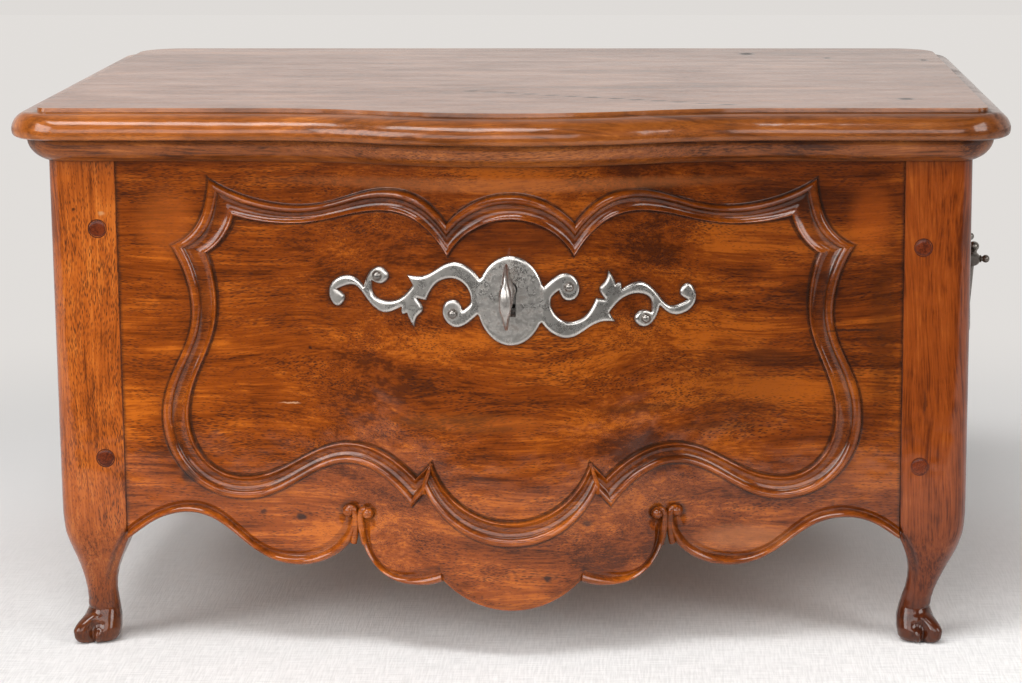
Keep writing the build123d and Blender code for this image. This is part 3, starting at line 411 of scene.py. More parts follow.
class Tree:
    """Short ways to add nodes to one node tree."""

    def __init__(self, tree):
        self.tree = tree

    def link(self, source, target):
        if isinstance(source, bpy.types.NodeSocket):
            self.tree.links.new(source, target)
        else:
            target.default_value = (*source, 1) if target.type == "RGBA" else source

    def node(self, kind, sockets=(), **settings):
        """A node with its settings made, and its sockets in the dict linked or set."""
        node = self.tree.nodes.new("ShaderNode" + kind)
        for key, value in settings.items():
            setattr(node, key, value)
        for key, value in dict(sockets).items():
            self.link(value, node.inputs[key])
        return node

    def math(self, operation, a, b=0.0, c=0.0, clamp=False):
        return self.node("Math", {0: a, 1: b, 2: c}, operation=operation, use_clamp=clamp).outputs[0]

    def times(self, a, b, clamp=False):
        return self.math("MULTIPLY", a, b, clamp=clamp)

    def add_times(self, a, b, c):
        return self.math("MULTIPLY_ADD", a, b, c)

    def stretch(self, vector, scale, offset=(0, 0, 0)):
        return self.node("Mapping", {"Vector": vector, "Scale": scale, "Location": offset}).outputs[0]

    def noise(self, vector, scale, detail=2.0, rough=0.5, distortion=0.0, colour=False):
        sockets = {"Vector": vector, "Scale": scale, "Detail": detail, "Roughness": rough, "Distortion": distortion}
        return self.node("TexNoise", sockets).outputs["Color" if colour else "Fac"]

    def ramp(self, value, low, high, low_to=0.0, high_to=1.0, kind="SMOOTHSTEP"):
        sockets = {"Value": value, "From Min": low, "From Max": high, "To Min": low_to, "To Max": high_to}
        return self.node("MapRange", sockets, interpolation_type=kind).outputs[0]

    def mix(self, factor, a, b, mode="MIX"):
        return self.node("Mix", {0: factor, 6: a, 7: b}, data_type="RGBA", blend_type=mode).outputs[2]

    def attribute(self, name):
        return self.node("Attribute", attribute_name=name).outputs["Fac"]

    def axis(self, vector, name):
        return self.node("SeparateXYZ", {0: vector}).outputs[name]

    def length(self, vector):
        return self.node("VectorMath", {0: vector}, operation="LENGTH").outputs["Value"]

    def shift(self, drift, reach, vector):
        """The vector moved by a noise colour times a reach."""
        return self.node("VectorMath", {0: drift, 1: reach, 2: vector}, operation="MULTIPLY_ADD").outputs[0]

    def spot(self, place, centre, size, edge):
        """A soft-edged mask round a place; a size of None lets it run through on that axis."""
        scale = [0.0 if s is None else 1 / s for s in size]
        near = self.stretch(place, scale, [-c * s for c, s in zip(centre, scale)])
        return self.ramp(self.length(near), edge, 1.0, 1.0, 0.0)

    def across(self, place, colour, left, right, axis="X", start=-0.23, end=0.23):
        """Colour that deepens from one end of the box to the other."""
        share = self.ramp(self.axis(place, axis), start, end, kind="LINEAR")
        return self.mix(1.0, colour, self.mix(share, left, right), "MULTIPLY")

    def bump(self, height, strength, distance, **normal):
        sockets = {"Strength": strength, "Distance": distance, "Height": height, **normal}
        return self.node("Bump", sockets).outputs[0]


def make_walnut_group():
    """Figure, streaks and pores of walnut with its grain along the first axis of the vector."""
    group, t, source, sink = new_group(
        "walnut figure",
        {"Vector": None, "Dark": (0.10, 0.025, 0.008), "Mid": (0.28, 0.085, 0.022), "Light": (0.42, 0.16, 0.05),
         "Pore Strength": 0.8, "Figure": 1.0, "Streaks": 0.9, "Grime And Shade": 0.0, "Wear": 0.0},
        ("Color", "Roughness", "Height", "Tone"))
    vector = source["Vector"]
    wavy = t.shift(t.noise(t.stretch(vector, (5, 16, 16)), 1.0, 2.0, colour=True), (0.0, 0.030, 0.030), vector)
    figure = t.noise(t.stretch(wavy, (6, 44, 44)), 1.0, 3.0, 0.55, 0.8)
    streak = t.noise(t.stretch(wavy, (42, 1050, 1050), (3, 1, 7)), 1.0, 2.0, 0.6)
    line = t.noise(t.stretch(wavy, (11, 330, 330), (6, 2, 1)), 1.0, 3.0, 0.6, 0.4)
    cloud = t.noise(t.stretch(vector, (11, 15, 15), (1, 5, 2)), 1.0, 2.0, 0.5, 1.0)
    mottle = t.noise(t.stretch(vector, (60, 85, 85), (2, 3, 4)), 1.0, 3.0, 0.6, 0.5)
    tone = 0.5
    for layer, share in ((figure, source["Figure"]), (streak, source["Streaks"]), (line, 0.75), (cloud, 0.70),
                         (mottle, 0.55)):
        tone = t.add_times(t.math("SUBTRACT", layer, 0.5), share, tone)
    low = t.mix(t.ramp(tone, 0.14, 0.52), source["Dark"], source["Mid"])
    colour = t.mix(t.ramp(tone, 0.48, 0.92), low, source["Light"])
    # pores: short dark dashes in patches
    cells = t.node("TexVoronoi", {"Scale": 1.0, "Vector": t.stretch(wavy, (280, 2200, 2200))})
    patches = t.noise(t.stretch(vector, (22, 90, 90), (4, 4, 4)), 1.0, 2.0)
    limit = t.ramp(patches, 0.28, 0.66, 0.16, 0.52, "LINEAR")
    dashes = t.ramp(cells.outputs["Distance"], t.times(limit, 0.6), limit)
    pores = t.times(t.math("SUBTRACT", 1.0, dashes, clamp=True), source["Pore Strength"])
    colour = t.mix(pores, colour, t.mix(0.82, colour, (0.018, 0.006, 0.004)))
    # dirt and painted shade in the hollows, and bright rubbed ridges
    grime_and_shade = t.times(source["Grime And Shade"], t.ramp(t.noise(vector, 420.0, 3.0), 0.2, 0.75, 0.55, 1.0), clamp=True)
    colour = t.mix(t.times(grime_and_shade, 0.88), colour, (0.020, 0.011, 0.009))
    worn = t.times(source["Wear"], t.ramp(t.noise(vector, 150.0, 2.0), 0.3, 0.7, 0.25, 0.8))
    t.link(t.mix(t.times(worn, 0.42), colour, source["Light"]), sink["Color"])
    rough = t.add_times(grime_and_shade, 0.25, t.add_times(streak, 0.16, 0.24))
    t.link(t.add_times(pores, 0.2, rough), sink["Roughness"])
    t.link(t.add_times(pores, -0.8, t.times(streak, 0.30)), sink["Height"])
    t.link(tone, sink["Tone"])
    return group


WALNUT = make_walnut_group()
TURN_UP = (0.0, math.radians(90), 0.0)
TURN_BACK = (0.0, 0.0, math.radians(90))


def start_material(name):
    """A new material, its tree, its surface's sockets and the place on the object."""
    material = bpy.data.materials.new(name)
    material.use_nodes = True
    t = Tree(material.node_tree)
    return material, t, t.tree.nodes["Principled BSDF"].inputs, t.node("TexCoord").outputs["Object"]


def mask_links(t):
    return {"Grime And Shade": t.attribute("grime_and_shade"), "Wear": t.attribute("wear")}


def walnut(name, turn=(0, 0, 0), offset=(0, 0, 0), dark=(0.078, 0.0165, 0.0017), mid=(0.195, 0.0425, 0.0030),
           light=(0.40, 0.108, 0.010), pores=0.85, figure=1.0, streaks=0.9, gloss=0.9, masks=True,
           sheen=0.05, dull_marks=False, extra=None):
    """One board's walnut. turn lays the grain, offset picks the piece of figure.

    A pair for pores or figure gives its left and right ends.
    """
    material, t, surface, place = start_material(name)
    pores, figure = (t.ramp(t.axis(place, "X"), -0.2, 0.2, *amount) if isinstance(amount, tuple) else amount
                     for amount in (pores, figure))
    lay = t.node("Mapping", {"Vector": place, "Rotation": turn, "Location": offset})
    wood = t.node("Group", {"Vector": lay.outputs[0], "Dark": dark, "Mid": mid, "Light": light,
                            "Pore Strength": pores, "Figure": figure, "Streaks": streaks,
                            **(mask_links(t) if masks else {})}, node_tree=WALNUT).outputs
    colour = extra(t, place, wood["Color"]) if extra else wood["Color"]
    shine = t.times(t.ramp(wood["Tone"], 0.25, 0.75, 0.74, 1.0), gloss)
    if dull_marks:
        shine = t.times(shine, t.ramp(colour, 0.010, 0.045, 0.05, 1.0))
    bumped = t.bump(t.noise(place, 46.0, 2.0), 0.25, 0.0022)
    for label, value in (
        ("Base Color", colour), ("Roughness", wood["Roughness"]), ("Coat Weight", shine),
        ("Coat Roughness", 0.11), ("Specular IOR Level", sheen), ("Coat Normal", bumped),
        ("Normal", t.bump(wood["Height"], 0.35, 0.00016, Normal=bumped)),
    ):
        t.link(value, surface[label])
    return material


def make_metal_group():
    """Filed metal with spots of rust, dull with dirt and painted shade in its hollows, and bright where it is rubbed.
    """
    group, t, source, sink = new_group(
        "filed metal",
        {"Vector": None, "Bright": (0.6, 0.58, 0.54), "Dull": (0.2, 0.18, 0.16), "Rust": 0.5, "Grime And Shade": 0.0,
         "Wear": 0.0},
        ("Color", "Roughness", "Height", "Metallic"))
    vector = source["Vector"]
    cloud = t.noise(vector, 95.0, 4.0, 0.6)
    specks = t.ramp(t.noise(vector, 900.0, 3.0, 0.7), 0.50, 0.66)
    dark = t.ramp(t.noise(vector, 260.0, 4.0, 0.65), 0.47, 0.68)
    spots = t.times(t.math("MAXIMUM", t.times(specks, 0.55), dark), source["Rust"])
    spots = t.times(spots, t.math("SUBTRACT", 1.0, source["Wear"], clamp=True), clamp=True)
    spots = t.math("MAXIMUM", spots, source["Grime And Shade"])
    base = t.mix(t.ramp(cloud, 0.3, 0.7, 0.0, 0.35), source["Bright"], source["Dull"])
    t.link(t.mix(spots, base, source["Dull"]), sink["Color"])
    t.link(t.add_times(spots, 0.32, t.ramp(cloud, 0.2, 0.8, 0.20, 0.36)), sink["Roughness"])
    t.link(t.times(spots, -1.0), sink["Height"])
    t.link(t.add_times(spots, -0.35, 1.0), sink["Metallic"])
    return group


METAL = make_metal_group()


def metal(name, bright, dull, rust, masks=False):
    material, t, surface, place = start_material(name)
    node = t.node("Group", {"Vector": place, "Bright": bright, "Dull": dull, "Rust": rust,
                            **(mask_links(t) if masks else {})}, node_tree=METAL).outputs
    for label, value in (("Base Color", node["Color"]), ("Roughness", node["Roughness"]),
                         ("Metallic", node["Metallic"]), ("Normal", t.bump(node["Height"], 0.25, 0.0002))):
        t.link(value, surface[label])
    return material


def marked(t, place, colour, marks, axes):
    """Knots, stains and rubs, and patches of painted shade and highlight, in the plane of the two axes."""
    drift = t.noise(place, 330.0, 2.0, colour=True)
    ragged = t.shift(drift, (0.0022, 0.0022, 0.0022), place)
    for *numbers, tint, strength in marks:
        centre, size = np.array(numbers).reshape(2, 2) / 1000
        spread = [None, None, None]
        middle = [0.0, 0.0, 0.0]
        for axis, c, s in zip(axes, centre, size):
            spread[axis], middle[axis] = s, c + 0.0011
        colour = t.mix(t.times(t.spot(ragged, middle, spread, 0.35), strength), colour, tint)
    return colour


# Marks: the middle and the half size along both axes in millimetres, tint, strength
BLACK = (0.012, 0.006, 0.004)
UMBER = (0.03, 0.008, 0.002)
FRONT_MARKS_SHADE_AND_HIGHLIGHT = [
    (-109.4, 71, 4, 2.8, BLACK, 0.85), (-129, 73.6, 2.2, 2, BLACK, 0.7), (18.5, 43.9, 2.8, 2.2, BLACK, 0.85),
    (38.5, 72.1, 3.4, 2.4, BLACK, 0.7), (-166.8, 92.9, 6.5, 6, BLACK, 0.8),
    (-114, 131.3, 7.5, 0.5, (0.55, 0.30, 0.16), 0.6), (-103, 160, 1.2, 1.2, BLACK, 0.8),
    (115, 140, 42, 30, (0.045, 0.012, 0.003), 0.25), (175, 169, 22, 0.9, BLACK, 0.75),
    # painted shade: the dark patch at (2.8, 217) in the top of the frame's arch; painted highlight: the light band at
    # (0, 246.5) along the top rail
    (-20, 125, 55, 7, (0.42, 0.12, 0.02), 0.16), (2.8, 217, 36, 14, (0.060, 0.011, 0.001), 0.45),
    (0, 246.5, 150, 5, (0.32, 0.11, 0.035), 0.35), (66, 131, 30, 3, UMBER, 0.45), (105, 119, 33, 3.4, UMBER, 0.4),
    (130, 156, 20, 5, UMBER, 0.4), (190, 165, 10, 55, (0.045, 0.01, 0.001), 0.4),
    (120, 60, 34, 9, (0.36, 0.13, 0.045), 0.4), (-175, 225, 20, 24, (0.32, 0.075, 0.009), 0.4),
    (183, 226, 15, 24, (0.28, 0.055, 0.004), 0.35),
]
POST_MARKS = [
    (-207.7, 229.2, 2.6, 1.8, (0.42, 0.20, 0.08), 0.8), (-222, 231.3, 1.2, 1.4, BLACK, 0.8),
    (212, 131, 1.2, 9, BLACK, 0.5), (-215, 140, 1, 12, BLACK, 0.45),
]
# five knots, and a crack that runs on as a row of short marks
LID_MARKS = [
    (128, 150, 6.6, 10, BLACK, 0.95), (175, 124, 3.4, 5.8, BLACK, 0.85), (231, 111, 3.4, 5.8, BLACK, 0.85),
    (203, -100, 6.4, 6.2, BLACK, 0.9), (-80, 90, 2.6, 3.2, BLACK, 0.7),
] + [(x, -61 - 0.49 * (x + 23.5), 6.8, 3, BLACK, 0.85)
     for x in (-23.5, -13.5, -3, 8, 19, 30, 41, 53, 64, 75, 86, 98, 110)]


def front_light_shade_and_marks(t, place, colour):
    # painted shade: darker towards the right end, away from the left lamp; painted light: lighter towards the bottom,
    # where the floor's light falls
    colour = t.across(place, colour, (0.90, 0.81, 0.52), (0.45, 0.38, 0.24))
    colour = t.across(place, colour, (1.36, 1.36, 1.30), (0.88, 0.84, 0.72), "Z", 0.03, 0.26)
    return marked(t, place, colour, FRONT_MARKS_SHADE_AND_HIGHLIGHT, (0, 2))


def post_shade_and_marks(t, place, colour):
    # painted shade: the right post darker, away from the left lamp; the posts also darker towards the floor
    colour = t.across(place, colour, (1.0, 1.0, 1.0), (0.55, 0.46, 0.40))
    colour = t.across(place, colour, (0.50, 0.44, 0.38), (1.0, 1.0, 1.0), "Z", 0.01, 0.09)
    return marked(t, place, colour, POST_MARKS, (0, 2))


def lid_shade_and_marks(t, place, colour):
    # painted shade: the field and the nose darker towards the right, away from the left lamp
    field = t.across(place, colour, (1.15, 1.15, 1.05), (1.0, 1.03, 1.0))
    nose = t.across(place, colour, (1.38, 1.32, 0.80), (0.72, 0.68, 0.46))
    colour = t.mix(t.ramp(t.axis(place, "Z"), 0.2812, 0.2830), nose, field)
    return marked(t, place, colour, LID_MARKS, (0, 1))


def moulding_shade(t, place, colour):
    # painted shade: darker towards the right, away from the left lamp
    return t.across(place, colour, (1.15, 1.1, 1.0), (0.85, 0.80, 0.75))


FRONT_WOOD = walnut("front walnut", offset=(0.31, 0.12, 0.05), figure=(1.0, 1.9), extra=front_light_shade_and_marks)
POST_WOOD = walnut("post walnut", turn=TURN_UP, offset=(0.7, 0.33, 0.2), pores=(0.95, 0.12), figure=0.6, streaks=1.0,
                   dark=(0.140, 0.029, 0.0035), mid=(0.308, 0.068, 0.0065), light=(0.455, 0.125, 0.015),
                   extra=post_shade_and_marks)
LID_WOOD = walnut("lid walnut", offset=(0.12, 0.52, 0.31), dark=(0.085, 0.022, 0.004), mid=(0.190, 0.052, 0.009),
                  light=(0.36, 0.115, 0.022), figure=1.1, streaks=0.6, gloss=0.8, pores=0.4, sheen=0.14,
                  dull_marks=True, extra=lid_shade_and_marks)
MOULDING_WOOD = walnut("moulding walnut", offset=(0.9, 0.14, 0.6), dark=(0.055, 0.015, 0.0040),
                       mid=(0.190, 0.052, 0.0085), light=(0.33, 0.105, 0.020), gloss=0.6,
                       extra=moulding_shade)
SIDE_MOULDING_WOOD = walnut("side moulding walnut", turn=TURN_BACK, offset=(0.4, 0.9, 0.2), gloss=0.5,
                            dark=(0.055, 0.015, 0.0040), mid=(0.165, 0.047, 0.009), light=(0.29, 0.098, 0.024))
SIDE_WOOD = walnut("side walnut", turn=TURN_BACK, offset=(1.4, 0.35, 0.8), masks=False)
BACK_WOOD = walnut("back walnut", offset=(2.1, 0.75, 0.1), masks=False, gloss=0.3)
INSIDE_WOOD = walnut("inside walnut", offset=(0.2, 1.9, 0.4), dark=(0.163, 0.069, 0.031), mid=(0.325, 0.156, 0.073),
                     light=(0.45, 0.25, 0.131), gloss=0.0, masks=False)
PEG_WOOD = walnut("peg wood", turn=TURN_BACK, offset=(0.2, 0.2, 0.2), dark=(0.055, 0.009, 0.0025),
                  mid=(0.120, 0.020, 0.0045), light=(0.17, 0.034, 0.009), gloss=0.35)
STEEL = metal("cut steel", (0.60, 0.575, 0.54), (0.12, 0.10, 0.085), 0.75, masks=True)
KEY_STEEL = metal("key steel", (0.52, 0.49, 0.46), (0.12, 0.10, 0.085), 0.6)
IRON = metal("forged iron", (0.30, 0.28, 0.26), (0.08, 0.065, 0.055), 0.7)
HANDLE_IRON = metal("handle iron", (0.27, 0.245, 0.22), (0.05, 0.04, 0.032), 0.4)
STUD_STEEL = metal("stud steel", (0.28, 0.26, 0.24), (0.06, 0.05, 0.042), 0.6, masks=True)


# The carved front board

# the rods that lead up to the curls and the frame's spurs: x, z, height over the front, radius
HOOKS = [mm(rows) for rows in (
    [(82.8, 53.5, -1.4, 1.7), (81.7, 59, -1, 1.8), (81.1, 64.5, -0.4, 1.8), (81.1, 69.2, 0.2, 1.7),
     (82.2, 72.4, 0.4, 1.6), (84.2, 72.7, 0.4, 1.6)],
    [(76.8, 53.5, -1.4, 1.7), (77.8, 59, -1, 1.8), (78.4, 64.5, -0.4, 1.8), (78.3, 69, 0.2, 1.7),
     (77, 72, 0.4, 1.6), (75.2, 72.2, 0.4, 1.6)],
)]
SPUR = mm([(43.7, 83.5, 2.4, 1.4), (43.7, 87, 2.2, 1.3), (42.6, 91.5, 1.8, 1.2), (41.2, 96, 1.4, 1),
           (40.2, 99.3, 1, 0.8)])


def cartouche_lines():
    """The frame's outer and inner lines, each a loop from the top middle."""
    lines = []
    for chain, arch, notch, lobe in (
        (CARTOUCHE_OUTER, OUTER_ARCH_TOP, OUTER_NOTCH, OUTER_LOBE_LOW),
        (CARTOUCHE_INNER, INNER_ARCH_TOP, INNER_NOTCH, INNER_LOBE_LOW),
    ):
        half = np.concatenate([arc_run(*chain[0], arch, 22), curve_run(chain, 22)[1:],
                               np.linspace(chain[-1], notch, 6)[1:], arc_run(*notch, lobe, 34)[-2::-1]])
        loop = np.concatenate([half, half[-2:0:-1] * (-1, 1)])
        loop[:, 0] += FRAME_SHIFT * np.clip((loop[:, 1] - 0.12) / 0.10, 0, 1)
        lines.append(loop)
    return lines


def scroll_outline():
    """The keyhole plate's outline about its centre, once round."""
    half = np.concatenate([smooth_run(run, 7)[:-1] for run in SCROLL_RUNS] + [SCROLL_RUNS[-1][-1:]])
    outside = np.flatnonzero((half[:, 0] / OVAL[0])**2 + (half[:, 1] / OVAL[1])**2 > 1.0)
    half = half[outside[0]:outside[-1] + 1]
    start, end = (math.atan2(w / OVAL[1], u / OVAL[0]) for u, w in (half[-1], -half[0]))
    turns = np.linspace(start, end - 2 * math.pi if end > start else end, 40)[1:-1]
    oval = np.stack([OVAL[0] * np.cos(turns), OVAL[1] * np.sin(turns)], 1)
    return np.concatenate([half, oval, -half, -oval])


def distance_to(points, line):
    """How far each point is from a line of close points."""
    best = np.full(len(points), 1e9)
    for start in range(0, len(line), 400):
        gaps = points[:, None, :] - line[None, start:start + 400, :]
        best = np.minimum(best, np.sqrt((gaps**2).sum(-1)).min(1))
    return best


def keyhole_line(steps, low_half):
    """The keyhole: most of a circle, and a slot below it."""
    turns = np.linspace(-0.62, math.pi + 0.62, steps)
    head = np.stack([KEYHOLE_RADIUS * np.cos(turns), KEY_Z + KEYHOLE_RADIUS * np.sin(turns)], 1)
    return np.concatenate([head, [(-low_half, KEYHOLE_LOW), (low_half, KEYHOLE_LOW)]])


def sheet(x, y, z, masks, **how):
    """Rows of x, y and z as a part."""
    points = np.stack(np.broadcast_arrays(x, y, z), -1)
    return points.reshape(-1, 3), grid_faces(*points.shape[:2], **how), masks


def over_pocket(x):
    """The faces in the second of two rows that lie over the lock's pocket."""
    cut = np.zeros((2, len(x) - 1), bool)
    cut[1] = np.abs((x[1:] + x[:-1]) / 2) < POCKET_HALF
    return cut


def cut_arches(verts):
    """The arch on the left is cut a little higher, and the one on the right lower."""
    verts = np.array(verts)
    for middle, rise in ARCH_CUTS:
        near = np.exp(-((verts[:, 0] - middle) / 0.026)**2) * np.clip((0.100 - verts[:, 2]) / 0.030, 0, 1)
        verts[:, 2] += rise * near
    return verts


def flat_of_front(low_line):
    """The flat of the board above the bead's inner line, as a part, and its columns."""
    half_x = np.unique(np.round(np.concatenate([low_line[:, 0], np.arange(0.0, 0.2, 0.0024)]), 6))
    half_x = half_x[np.concatenate([[True], np.diff(half_x) > 0.00025])]
    half_x = np.unique(np.concatenate([half_x[half_x < JOINT_EDGE], [JOINT_EDGE, JOINT_X]]))
    columns = np.concatenate([-half_x[:0:-1], half_x])
    low = np.interp(np.abs(columns), *low_line.T)
    # level rows, close together behind the keyhole plate, over rows that follow the lower edge
    levels = np.unique(np.concatenate([np.linspace(LEVEL_LOW, 0.155, 34), np.linspace(0.155, 0.213, 50),
                                       np.linspace(0.213, BODY_TOP, 18)]))
    z = np.array([low + (LEVEL_LOW - low) * k / 12 for k in range(12)] + [np.full_like(low, z) for z in levels])
    x = np.broadcast_to(columns, z.shape)
    points = front_points(x, z, np.where(np.abs(x) > JOINT_EDGE + 0.0001, -0.0004, 0.0) + recess(x, z))
    flat = np.stack([x.ravel(), z.ravel()], 1)
    grime_and_shade = np.zeros(len(flat))
    # Painted shadow in a halo round the keyhole plate, painted shade in rings round the curled balls, a dark joint
    # line where the board meets the posts, and painted shadow along the top under the lid's moulding
    near = (np.abs(flat[:, 1] - PLATE_Z) < 0.032) & (np.abs(flat[:, 0]) < 0.10)
    grime_and_shade[near] = 0.75 * np.clip(1 - distance_to(flat[near], scroll_outline() + PLATE_CENTRE) / 0.0024, 0, 1)
    for curl_x, curl_z in CURLS:
        away = np.hypot(np.abs(flat[:, 0]) - curl_x, flat[:, 1] - curl_z)
        grime_and_shade = np.maximum(grime_and_shade, 0.9 * np.clip(1 - (away - 0.0036) / 0.0022, 0, 1))
    grime_and_shade = np.maximum(grime_and_shade, 0.85 * np.clip((np.abs(flat[:, 0]) - 0.1985) / 0.0010, 0, 1))
    grime_and_shade = np.maximum(grime_and_shade, 0.55 * np.clip((flat[:, 1] - 0.2500) / 0.0020, 0, 1))
    middle_x, middle_z = ((grid[:-1, :-1] + grid[1:, 1:]) / 2 for grid in (x, z))
    hole = (np.abs(middle_x) < HOLE_HALF[0]) & (np.abs(middle_z - HOLE_Z) < HOLE_HALF[1])
    masks = np.stack([grime_and_shade, np.zeros_like(grime_and_shade)], 1)
    return (points.reshape(-1, 3), grid_faces(*z.shape, skip=hole), masks), columns


def make_front_board():
    lobe, bead_lobe = arc_run(*APRON_LOBE, APRON_LOW, 24), arc_run(*BEAD_LOBE, BEAD_LOW, 24)
    to_cusp, bead_to_cusp, to_leg, bead_to_leg = (
        curve_run(chain, 24) for chain in (APRON_TO_CUSP, BEAD_TO_CUSP, APRON_TO_LEG, BEAD_TO_LEG))
    flat, columns = flat_of_front(np.concatenate([bead_lobe, bead_to_cusp[1:], bead_to_leg]))

    # the plain lobe in the middle, and the bead along the lower edge with its square step at the lobe
    step_outer, step_inner = to_cusp[[0, 0]], bead_to_cusp[[0, 0]]
    step = ribbon(step_outer, step_inner, BEAD_SECTION)
    step[0][:len(BEAD_SECTION)] = ribbon(step_outer[:1], step_inner[:1], LOBE_SECTION)[0]
    sides = [step, ribbon(to_cusp, bead_to_cusp, BEAD_SECTION), ribbon(to_leg, bead_to_leg, BEAD_SECTION)]
    parts = [flat, ribbon(both_sides(lobe), both_sides(bead_lobe), LOBE_SECTION)]
    parts += sides + [mirrored(side) for side in sides]

    # underside, darkened with painted shade, inner face and top
    apron = both_sides(np.concatenate([lobe, to_cusp[1:], to_leg[1:]]))
    front_edge = front_points(*apron.T, -0.0030)
    back_edge = np.column_stack([apron[:, 0], np.full(len(apron), BOARD_BACK_Y), apron[:, 1]])
    sole = np.stack([front_edge, front_edge * 0.5 + back_edge * 0.5, back_edge])
    parts.append((sole.reshape(-1, 3), grid_faces(3, len(apron)), (0.3, 0.0)))
    inner_x = np.unique(np.concatenate([apron[:, 0], [-POCKET_HALF, POCKET_HALF]]))
    inner_z = np.stack(np.broadcast_arrays(np.interp(inner_x, *apron.T), POCKET_LOW, BODY_TOP))
    parts.append(sheet(inner_x, BOARD_BACK_Y, inner_z, (0, 0), flip=True, skip=over_pocket(inner_x)))
    top_x = np.unique(np.concatenate([columns, [-POCKET_HALF, POCKET_HALF]]))
    fronts = front_points(top_x, BODY_TOP, 0.0)[:, 1]
    top_y = np.stack(np.broadcast_arrays(fronts, FRONT_Y + 0.002, BOARD_BACK_Y))
    parts.append(sheet(top_x, top_y, BODY_TOP, (0, 0), skip=over_pocket(top_x)))

    # the wooden sides of the keyhole, darkened with painted shade
    rim = front_points(*keyhole_line(28, 0.0031).T, 0.0002)
    walls = np.concatenate([rim, rim * (1, 0, 1) + (0, FRONT_Y + 0.003, 0)])
    parts.append((walls, grid_faces(2, len(rim), closed_columns=True), (0.9, 0.0)))
    parts = [(cut_arches(verts), faces, masks) for verts, faces, masks in parts]
    return add_parts("front_board_carved", parts, FRONT_WOOD)


def make_frame():
    """The double bead that frames the front."""
    return add_parts("front_carved_frame", [ribbon(*cartouche_lines(), BAND_SECTION, closed=True)], FRONT_WOOD,
                     crease=24)


def rod_on_front(table, side, masks, steps=12):
    """A tapering rod on one side of the front, along a smooth path through the table's rows."""
    places = smooth_run(table[:, :2], 6)
    share = np.linspace(0, len(table) - 1, len(places))
    height, radius = (np.interp(share, range(len(table)), table[:, k]) for k in (2, 3))
    middle = front_points(places[:, 0] * side, places[:, 1], height)
    verts = []
    for k, point in enumerate(middle):
        ahead = middle[min(k + 1, len(middle) - 1)] - middle[max(k - 1, 0)]
        ahead = ahead / np.linalg.norm(ahead)
        across = np.cross(ahead, (0, 1, 0))
        across = across / max(np.linalg.norm(across), 1e-9)
        up = np.cross(across, ahead)
        verts += [point + radius[k] * (across * math.cos(turn) + up * math.sin(turn)) for turn in turns_round(steps)]
    faces = rod_faces(len(middle), steps)
    return verts, faces if side > 0 else [face[::-1] for face in faces], masks


def make_curls():
    """The two beads rise side by side at each cusp and curl outwards into small balls."""
    parts = []
    tilts = np.linspace(0.03, math.pi / 2 + 0.5, 12)
    for side in (-1, 1):
        for (curl_x, curl_z), hook in zip(CURLS, HOOKS):
            centre = front_points(np.array([side * curl_x]), curl_z, -0.0004)[0]
            verts, masks = [], []
            for tilt in tilts:
                out = CURL_RADIUS * math.sin(tilt)
                verts += [centre + (out * math.cos(turn), -CURL_HEIGHT * math.cos(tilt), out * math.sin(turn))
                          for turn in turns_round(24)]
                # painted shade round the foot of each ball, and wear on its crown
                masks += [(max(0.0, (tilt - 1.2) / 0.7), max(0.0, 1 - tilt))] * 24
            parts.append((verts, rod_faces(len(tilts), 24)[:-1], masks))
            parts.append(rod_on_front(hook, side, (0.08, 0.5)))
    return add_parts("front_bead_curls", parts, FRONT_WOOD, crease=50)


def make_spurs():
    """Where the frame steps at the bottom, the middle bead runs on up to the inner point."""
    parts = [rod_on_front(SPUR, side, (0.0, 0.9)) for side in (-1, 1)]
    return add_parts("front_frame_spurs", parts, FRONT_WOOD, crease=50)


# Legs

def leg_section(z):
    """Points round one leg at a height, outward in x and forward in y from its two joint lines, and the painted shade
    of its creases.
    """
    inner, outer, round_out, round_in = (np.interp(z, LEG_LEVELS[::-1, 0], LEG_LEVELS[::-1, k]) for k in range(1, 5))
    half = (outer - inner) / 2
    arcs = []
    for index, (sx, sy, radius) in enumerate([(1, 1, round_out), (-1, 1, round_in), (-1, -1, round_in),
                                              (1, -1, round_in)]):
        radius = min(radius, half * 0.98)
        turns = np.linspace(index * math.pi / 2, (index + 1) * math.pi / 2, 23)
        arcs.append(np.stack([sx * (half - radius) + radius * np.cos(turns),
                              sy * (half - radius) + radius * np.sin(turns)], 1))
    points = []
    for arc, following in zip(arcs, arcs[1:] + arcs[:1]):
        points += [arc, arc[-1] + (following[0] - arc[-1]) * np.linspace(0, 1, 32)[1:-1, None]]
    points = np.concatenate(points)
    angle = np.arctan2(points[:, 1], points[:, 0])
    crease = np.zeros(len(points))
    if z < 0.030:
        push = np.zeros(len(points))
        for direction, height, amount, spread, tall in TOES:
            turn = (angle - direction + math.pi) % (2 * math.pi) - math.pi
            swell = np.exp(-(turn / spread)**2 - ((z - height) / tall)**4)
            push += amount * swell
            # the creases between the toes take painted shade
            if amount < 0:
                crease += 0.9 * swell
        points += push[:, None] * np.stack([np.cos(angle), np.sin(angle)], 1)
    middle = (inner + outer) / 2
    if 0.018 < z < 0.063:
        line = np.interp(z, *LEG_GROOVE.T)
        fade = np.clip((z - 0.022) / 0.018, 0, 1)
        for axis in (0, 1):
            along, out = points[:, axis], points[:, 1 - axis]
            cut = np.exp(-((along + middle - line) / 0.0013)**2) * fade * (out > half - 0.004)
            points[:, 1 - axis] = out - 0.0015 * cut
            crease = np.maximum(crease, 0.75 * cut)
    return points + (middle - JOINT_X), crease


